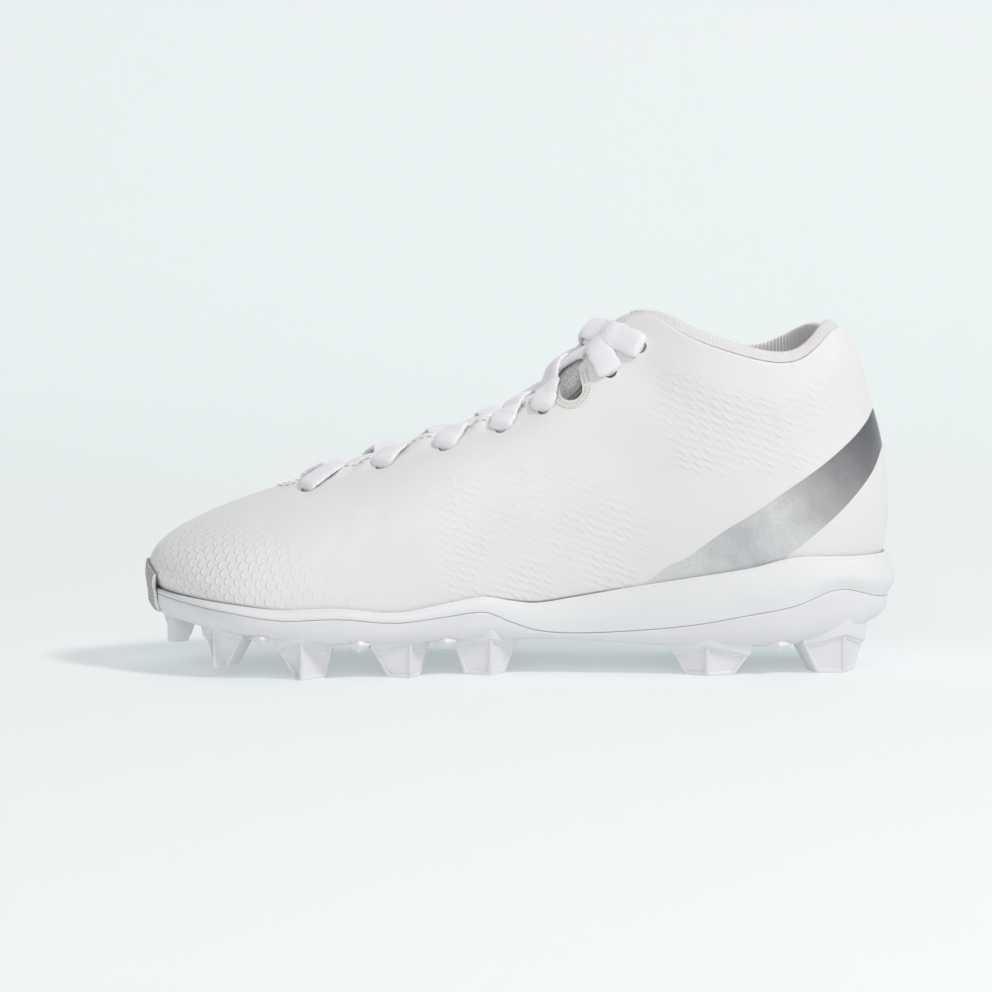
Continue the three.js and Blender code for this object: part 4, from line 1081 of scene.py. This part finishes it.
def make_collar():
    """Knit padding: lines the collar, rolls over its edge, ribbed across the roll."""
    lo, hi = CORNERS[1] - 1 + COLLAR_START, CORNERS[0] - COLLAR_START
    u = np.linspace(hi, lo, COLLAR_COLUMNS)
    full = smooth(np.minimum(hi - u, u - lo) / 0.05)
    pad, roll = mix(0.3, 1, full) * COLLAR_PAD, mix(0.5, 1, full) * COLLAR_ROLL
    depth = mix(0.45, 1, full) * COLLAR_DEPTH
    edge, n = upper_point(u, 1.0), upper_normal(u, 1.0)
    up = unit(edge - upper_point(u, 0.97))

    def at(out, rise):
        return edge + n * (out + 0 * u)[:, None] + up * (rise + 0 * u)[:, None]

    def inside(down, extra):
        return upper_offset(u, share_below_edge(u, down), -WALL - GAP - extra)

    sections = np.array([
        inside(depth, 0 * u),
        inside(depth * 0.5, 0 * u),
        at(-WALL - GAP, 0),
        at(-WALL * 0.62, SEAM * 0.4),
        at(-WALL - 0.5 * pad, roll),
        at(-WALL - 0.95 * pad, roll * 0.3),
        inside(depth * 0.5, pad),
        inside(depth, pad * 0.35),
    ])
    rows = catmull(sections, COLLAR_ROWS, closed=True)
    at_row = np.arange(COLLAR_ROWS) / COLLAR_ROWS * len(sections)
    mask = smooth((at_row - 2.6) / 0.6) * smooth((6.9 - at_row) / 0.8)
    ribs = np.cos(running_length(edge) * 2 * pi / COLLAR_RIB)
    ribbed = mix(mix(0.15, 0.65, smooth((u - 0.13) / 0.06)), 1.0, smooth((0.05 - u) / 0.05))
    # No rib sinks into the upper: the relief is cut inwards only.
    relief = (ribs - 1) * mix(0.19, 0.28, smooth((0.04 - u) / 0.05)) * ribbed
    rows = rows + unit(rows - rows.mean(0)) * relief[None, :, None] * mask[:, None, None]
    return closed_rings("collar_knit", np.swapaxes(rows, 0, 1))


def lace_strand(name, start, finish, lift, dive):
    """A flat soft cord from the eyelet start, over the throat, to the eyelet finish.

    start and finish are (row, side). The cord comes up through start's hole and crosses the
    throat's edge nearly square. With dive it passes under the far eyestay and ends below
    finish's hole, and else it lies over it and goes in. The top pair runs straight.
    """
    (row_a, side_a), (row_b, side_b) = start, finish
    (ca, na), (cb, nb) = (eyelet_place(EYELETS[row][side], EYELETS[row][2])
                          for row, side in (start, finish))
    ra, rb = EYELETS[row_a][3], EYELETS[row_b][3]
    over = LACE_THICKNESS / 2 + 0.25
    r_start, r_end = mix(ra, rb, 0.1), mix(ra, rb, 0.9)
    if dive:
        r_start, r_end = mix(own_share(row_a, side_a), ra, LACE_LEAN), mix(ra, rb, 0.88)

    def t_of(k):
        return k if side_a == 0 else 1 - k

    def climb(centre, normal, side, r, clear):
        """From below the hole, up and bent over the hole's rim, to the throat's edge."""
        u = throat_shares(np.array(r))[side]
        edge = upper_offset(u, np.array(1.0), over + clear)
        toward = unit(edge - centre)
        toward = unit(toward - normal * (toward @ normal))
        return [
            (centre - normal * 3.6, normal, 0.6),
            (centre - normal * 0.4 + toward * 0.2, unit(normal - toward * 0.9), 0.75),
            (centre + normal * (over + 0.2) + toward * 1.1, unit(normal - toward * 0.3), 1.0),
            (mix(centre + normal * over, edge, 0.55) + normal * 0.5, normal, 1.0),
            (edge, upper_normal(u, 1.0), 1.0),
        ]

    points = climb(ca, na, side_a, r_start, 0.3 + (EYESTAY_PRESSED if dive else 0.0))
    for k in (0.2, 0.5, 0.8):
        r = mix(r_start, r_end, float(smooth((k - 0.1) / 0.8)) if dive else k)
        centre = throat_point(r, t_of(k), over + lift * sin(pi * k) ** 2.5 + 0.1)
        top = throat_point(r, t_of(k), 1) - throat_point(r, t_of(k), 0)
        points.append((centre, unit(top), 1.0))
    if dive:
        u = throat_shares(np.array(r_end))[side_b]
        n = upper_normal(u, 1.0)
        points += [
            (throat_point(r_end, t_of(0.94), 1.0), n, 0.75),
            (upper_offset(u, share_below_edge(u, 4.0), np.array(-WALL - 1.15)), n, 0.5),
            (cb - nb * (WALL + 1.2), nb, 0.45),
        ]
    else:
        points += climb(cb, nb, side_b, r_end, 0.5)[::-1]
    centre, normal, shares = (catmull(np.array(column), LACE_STEPS) for column in zip(*points))
    tangent = unit(np.gradient(centre, axis=0))
    flat = unit(np.cross(tangent, unit(normal)))
    top = np.cross(flat, tangent)
    run = running_length(centre)
    through = np.exp(-(((run - 1.2) / 2.7) ** 4))
    if not dive:
        through = through + np.exp(-(((run[-1] - run - 1.2) / 2.7) ** 4))
    through = np.clip(through, 0, 1)
    phase = 1.7 * row_a + 2.9 * side_a
    wrinkle = 1 + 0.035 * np.sin(run * 0.9 + phase) + 0.025 * np.sin(run * 2.1 + 2 * phase)
    width = LACE_WIDTH / 2 * mix(1.0, 0.46, through) * mix(0.8, 1.0, shares) * wrinkle
    thick = LACE_THICKNESS / 2 * shares * mix(1.0, 1.5, through) / wrinkle
    # A soft flattened tube, fuller at its sides than a plain ellipse.
    turn = np.linspace(0, 2 * pi, 24, endpoint=False)
    c, h = np.cos(turn), np.sin(turn)
    across, high = np.sign(c) * np.abs(c) ** 0.72, np.sign(h) * np.abs(h) ** 0.85
    aside = flat[:, None] * width[:, None, None] * across[:, None]
    above = top[:, None] * thick[:, None, None] * high[:, None]
    return closed_rings(name, centre[:, None] + aside + above)


def make_laces():
    parts = []
    for i in range(6):
        dive = i < 5
        parts.append(lace_strand(f"strand_m{i}", (i, 0), (i + 1, 1), 2.3 if dive else 0.0, dive))
        parts.append(lace_strand(f"strand_l{i}", (i, 1), (i + 1, 0), 0.0 if dive else 3.0, dive))
    return join("lace_crossings", parts)


def sole_solid(name, rows, across=12):
    """A closed solid from rings round the sole, the first and the last bridged from side to side.

    Point i of a ring and point -i face each other across the sole.
    """
    rings = np.array(rows)
    count, columns, _ = rings.shape
    half = columns // 2
    faces = grid_faces(count, columns, close_columns=True).tolist()
    points = [rings.reshape(-1, 3)]
    free = count * columns
    shares = np.arange(1, across) / across
    for base in (0, (count - 1) * columns):
        ring = points[0][base : base + columns]
        near, far = ring[1:half, None], ring[: half : -1, None]
        points.append(mix(near, far, shares[None, :, None]).reshape(-1, 3))
        index = np.arange((half - 1) * (across - 1)).reshape(half - 1, across - 1) + free
        near_index = base + np.arange(1, half)[:, None]
        far_index = base + columns - np.arange(1, half)[:, None]
        index = np.concatenate([near_index, index, far_index], 1)
        for a, b in zip(index[:-1], index[1:]):
            faces.extend([a[j], a[j + 1], b[j + 1], b[j]] for j in range(across))
        for tip, row in ((base, index[0]), (base + half, index[-1])):
            faces.extend([tip, row[j], row[j + 1]] for j in range(across))
        free += (half - 1) * (across - 1)
    return recalc(new_object(name, np.concatenate(points), faces))


def tray_point(u, share, extra=0.0):
    """The plate's inner wall, from its floor up to its rim."""
    s = along(u)
    up = mix(PLATE_THICKNESS / (level["rim"](s) - level["under"](s)), 1, share)
    out = np.interp(up, WALL_OUT["up"], WALL_OUT["out"])
    return wall_point(u, out, up, -PLATE_RIM - TRAY_LEAN * (1 - share) - extra)


def make_midsole():
    u = around(480, 0.3)
    s = along(u)
    rim, edge, bed = level["rim"](s), level["edge"](s), level["bed"](s)
    over, outer = rim + SEAM, rim_outer(u)
    rows = [tray_point(u, k, GAP) + [0, 0, GAP * (1 - k)] for k in (0.0, 0.35, 1.0)]
    rows.append(sole_point(u, rim_inner(u) - GAP, over))
    rows.append(sole_point(u, outer - 0.5, over))
    full = outer + flare["full"](s)
    stand = upper_stand(u, edge) + GAP
    lip = stand + MIDSOLE_LIP
    belly_z = mix(over, edge, 0.4)
    belly = np.maximum(full, mix(full, lip, 0.4))
    # The side: up from the rounded lower edge, over the fullest line, in to the rounded lip.
    side = [
        (outer - 0.15, over + 0.12),
        (outer, over + 0.6),
        (mix(outer, belly, 0.6), mix(over, belly_z, 0.5)),
        (belly, belly_z),
        (mix(belly, lip, 0.45), mix(belly_z, edge, 0.5)),
        (lip - 0.05, edge - 1.0),
    ]
    rows.extend(catmull(np.array([sole_point(u, *place) for place in side]), 22))
    for turn in np.linspace(0.2, pi - 0.2, 7):
        out = stand + MIDSOLE_LIP / 2 * (1 + cos(turn))
        rows.append(sole_point(u, out, edge - 0.9 + sin(turn) * 0.9))
    low = mix(bed, edge, 0.45)
    rows.append(sole_point(u, upper_stand(u, low) + GAP, low))
    rows.append(sole_point(u, GAP + 0 * u, bed - GAP))
    return sole_solid("midsole_cup", rows)


def make_plate():
    u = around(480, 0.3)
    ups = [0, 0.02, 0.06, 0.12, 0.18, 0.26, 0.34, 0.44, 0.54, 0.64, 0.74, 0.84, 0.92, 0.97]
    rows = [wall_point(u, wall_out(up), up) for up in ups]
    rim, outer = level["rim"](along(u)), rim_outer(u)
    rows.append(sole_point(u, outer - 0.12, rim - 0.12))
    rows.append(sole_point(u, outer - 0.5, rim))
    rows.append(sole_point(u, rim_inner(u), rim))
    rows.extend(tray_point(u, share) for share in (0.7, 0.35, 0.0))
    return sole_solid("plate", rows)


def stud_rings(stud, side):
    _, at, inset, wide, deep, ridge, crest_at, tip, rake, foot, toeing = stud
    u = np.array(share_along(at, side))
    turned = radians(toeing) * -side
    nx, ny, _ = foot_normal(u)
    out = np.array([nx * cos(turned) - ny * sin(turned), nx * sin(turned) + ny * cos(turned), 0.0])
    heelward = np.array([-out[1], out[0], 0.0]) * -side
    wide, deep, ridge, inset, rake = np.array([wide, deep, ridge, inset, rake]) * BALL_WIDTH
    tip_of_ridge = float(rim_outer(u)) - inset
    base = float(level["under"](at)) - STUD_BASE

    def section(across, z, depth=1.0, outwards=0.0, step=0.0, arch=0.0, rake=0.0):
        half = wide * across / 2 - step
        front = tip_of_ridge + outwards - ridge
        back = front - deep * depth + step
        limit = half * STUD_CREST_LIMIT
        crest = min(limit, max(-limit, crest_at * wide / 2 - rake))
        plan = [
            (-half, front - step * 0.5, 0),
            (crest, front + ridge - step, arch),
            (half, front - step * 0.5, 0),
            (half * 0.72, back, 0),
            (crest * 0.5, mix(front, back, 0.55), 0),
            (-half * 0.72, back, 0),
        ]
        return [
            sole_point(u, 0.0, z + rise) + heelward * (e + rake) + out * o for e, o, rise in plan
        ]

    reach = wide * STUD_ROOT / 2 / LENGTH
    root = min(float(level["rim"](at + k * reach)) for k in (-1, 0, 1)) - STUD_SKIN
    arch = min(STUD_ARCH, root - base - STUD_BASE)
    return np.array([
        section(STUD_ROOT, root, outwards=inset - STUD_SKIN),
        section(1, base, arch=arch),
        section(1, base - STUD_STEP * 0.4, step=STUD_STEP, arch=arch),
        section(tip, foot * HEEL_CUP_HEIGHT, STUD_TIP_DEEP, -STUD_STEP, rake=rake),
    ])


def make_stud(stud, side):
    rings = stud_rings(stud, side)
    rows, columns, _ = rings.shape
    faces = grid_faces(rows, columns, close_columns=True).tolist()
    for start in (0, (rows - 1) * columns):
        faces += [[start + k for k in order] for order in ((0, 1, 4, 5), (1, 2, 3, 4))]
    made = new_object(f"stud_{stud[0]}_{side}", rings.reshape(-1, 3), faces, smooth_faces=False)
    bm = bmesh.new()
    bm.from_mesh(recalc(made).data)
    # The two outward faces of the blade carry a shallow sunk panel.
    blade = [f for f in bm.faces if {v.index // columns for v in f.verts} == {2, 3}
             and {v.index % columns for v in f.verts} in ({0, 1}, {1, 2})]
    if stud[0] != "toe_tip":
        for border, depth in ((PANEL_BORDER, 0), (PANEL_STEP, -PANEL_DEPTH)):
            bmesh.ops.inset_individual(bm, faces=blade, thickness=border * MM, depth=depth * MM)
    bm.to_mesh(made.data)
    bm.free()
    return round_edges(made, STUD_BEVEL, 35, limit_method="ANGLE", angle_limit=radians(24))


def make_nub(at, side):
    u = np.array(share_along(at, side))
    z = float(mix(level["under"](at), level["rim"](at), 0.08))
    centre = sole_point(u, float(mix(flare["under"](at), rim_outer(u), 0.55)), z)
    tips = [(1, 0, 0), (0, 1, 0), (-1, 0, 0), (0, -1, 0), (0, 0, 1), (0, 0, -1)]
    points = centre + np.array(tips) * NUB_SIZE / 2 * [1.3, 0.85, 0.9]
    faces = [(0, 1, 4), (1, 2, 4), (2, 3, 4), (3, 0, 4), (1, 0, 5), (2, 1, 5), (3, 2, 5), (0, 3, 5)]
    made = new_object(f"nub_{int(at * 1000)}_{side}", points, faces, smooth_faces=False)
    return round_edges(recalc(made), NUB_BEVEL, 40, limit_method="NONE")


def make_outsole():
    parts = [make_plate()]
    for side in (-1, 1):
        parts.extend(make_stud(stud, side) for stud in STUDS)
        parts.extend(make_nub(at, side) for at in NUBS)
    return join("outsole_plate", parts)


def make_bumper():
    facets = around(68)
    middle = int(np.argmin(np.abs(facets - 0.5))) + BUMPER_ASIDE
    pair = sole_point(facets[middle : middle + 2], np.zeros(2), np.zeros(2))
    facet = norm(pair[1] - pair[0])
    reach = round(BUMPER_WIDTH / 2 / facet)
    lo, hi = facets[middle - reach], facets[middle + reach]
    u = np.linspace(lo, hi, 90)
    rel = np.abs(np.interp(u, facets, np.arange(68)) - middle) / reach
    s = along(u)
    rim = level["rim"](s)
    high = rim + BUMPER_RISE * (1 - BUMPER_ROUND * rel**2)
    stand = np.maximum(rim_outer(u), upper_stand(u, high)) + GAP
    inner = np.array([
        wall_point(u, 0.84, 0.34, GAP),
        wall_point(u, 0.97, 0.62, GAP),
        wall_point(u, 1.0, 1.0, GAP),
        sole_point(u, rim_outer(u) + GAP + BUMPER_BELLY, mix(rim, high, 0.55)),
        sole_point(u, stand, high),
    ])
    n = foot_normal(u)
    inner = catmull(inner, 26)
    rows = list(inner)
    for turn in (0.25, 0.5, 0.75):
        rows.append(inner[-1] + n * BUMPER_THICKNESS * turn + [0, 0, 0.5 * sin(pi * turn) - 0.4])
    rows.extend(inner[::-1] + n * BUMPER_THICKNESS)
    for turn in (0.75, 0.5, 0.25):
        rows.append(inner[0] + n * BUMPER_THICKNESS * turn - [0, 0, 0.4 * sin(pi * turn)])
    return closed_rings("toe_bumper_film", np.swapaxes(np.array(rows), 0, 1))


def make_insole():
    u = around(300, 0.3)
    rows = [insole_ring(u, 0.0, 0.4), insole_ring(u, 0.6), insole_ring(u, INSOLE_THICKNESS - 0.9)]
    rows.append(insole_ring(u, INSOLE_THICKNESS - 0.25, 0.35))
    rows.append(insole_ring(u, INSOLE_THICKNESS, 1.2))
    return sole_solid("insole_sheet", rows)


upper = cut_upper(make_upper())
settle(upper, upper_material(), "upper_mesh", "upper")
settle(make_stitches(), thread_material(), "upper_mesh")
settle(make_collar(), knit_material(), "knit", "collar_padding")
settle(make_tongue(), tongue_material(), "knit", "tongue")
settle(make_laces(), lace_material(), "lace_cord", "laces")
settle(make_midsole(), foam_material(), "midsole_foam", "midsole")
settle(make_outsole(), plate_material(), "plate_plastic", "outsole")
settle(make_bumper(), bumper_material(), "bumper_rubber", "toe_bumper")
settle(make_insole(), insole_material(), "insole_fabric", "insole")

scene = bpy.context.scene
scene.view_settings.view_transform = "Standard"


def paper_material():
    """Pale paper that glows a little, so that it stays even from floor to backdrop."""
    s = Shader("backdrop_paper", (0.68, 0.70, 0.70), 1.0, Specular_IOR_Level=0.0)
    _, y, _ = s.xyz()
    glow = s.soft(y, 100, 1500, 0.265, 0.385)
    return s.done((0.68, 0.70, 0.70), Emission_Color=(0.90, 0.99, 1.0), Emission_Strength=glow)


def make_floor():
    """A pale floor that curves up into a backdrop behind the shoe."""
    front, back, bend, top, half_width = -3.0, 1.0, 0.8, 4.5, 4.0
    curve = [(back + bend * sin(a), bend * (1 - cos(a))) for a in np.linspace(0.1, pi / 2, 16)]
    profile = [(front, 0.0), (back, 0.0), *curve, (back + bend, top)]
    points = [(x, y, z) for y, z in profile for x in (-half_width, half_width)]
    mesh = bpy.data.meshes.new("floor")
    mesh.from_pydata(points, [], grid_faces(len(profile), 2).tolist())
    mesh.shade_smooth()
    mesh.materials.append(paper_material())
    floor = add_object("floor", mesh)


def aim(made, place, target):
    made.location = place
    made.rotation_euler = (Vector(target) - Vector(place)).to_track_quat("-Z", "Y").to_euler()


def area_light(name, place, size, power, color):
    data = bpy.data.lights.new(name, "AREA")
    data.shape = "RECTANGLE"
    data.size, data.size_y = size
    data.energy = power
    data.color = color
    aim(add_object(name, data), place, (0, 0, 0.05))


def make_camera():
    target = (EYE_TARGET + SHIFT) * MM
    data = bpy.data.cameras.new("camera")
    data.sensor_width = 36
    data.lens = 36 * EYE_DISTANCE / (992 * PIXEL)
    data.clip_end = 50
    scene.camera = add_object("camera", data)
    away = np.array([0, -cos(EYE_TILT), sin(EYE_TILT)]) * EYE_DISTANCE * MM
    aim(scene.camera, target + away, target)


world = bpy.data.worlds.new("studio")
world.use_nodes = True
sky = world.node_tree.nodes["Background"].inputs
sky["Color"].default_value = (0.90, 0.89, 0.89, 1)
sky["Strength"].default_value = 0.30
scene.world = world
make_floor()
SOFT_WHITE = (1.0, 0.98, 0.975)
area_light("key", (1.4, -0.95, 1.8), (0.4, 0.4), 25, (1.0, 0.975, 0.965))
area_light("front", (-0.1, -2.4, 1.2), (1.6, 1.2), 13, SOFT_WHITE)
area_light("left", (-1.2, -1.4, 1.7), (0.8, 0.8), 4, SOFT_WHITE)
area_light("top", (0.1, 0.3, 2.0), (1.3, 1.3), 3.4, SOFT_WHITE)
make_camera()
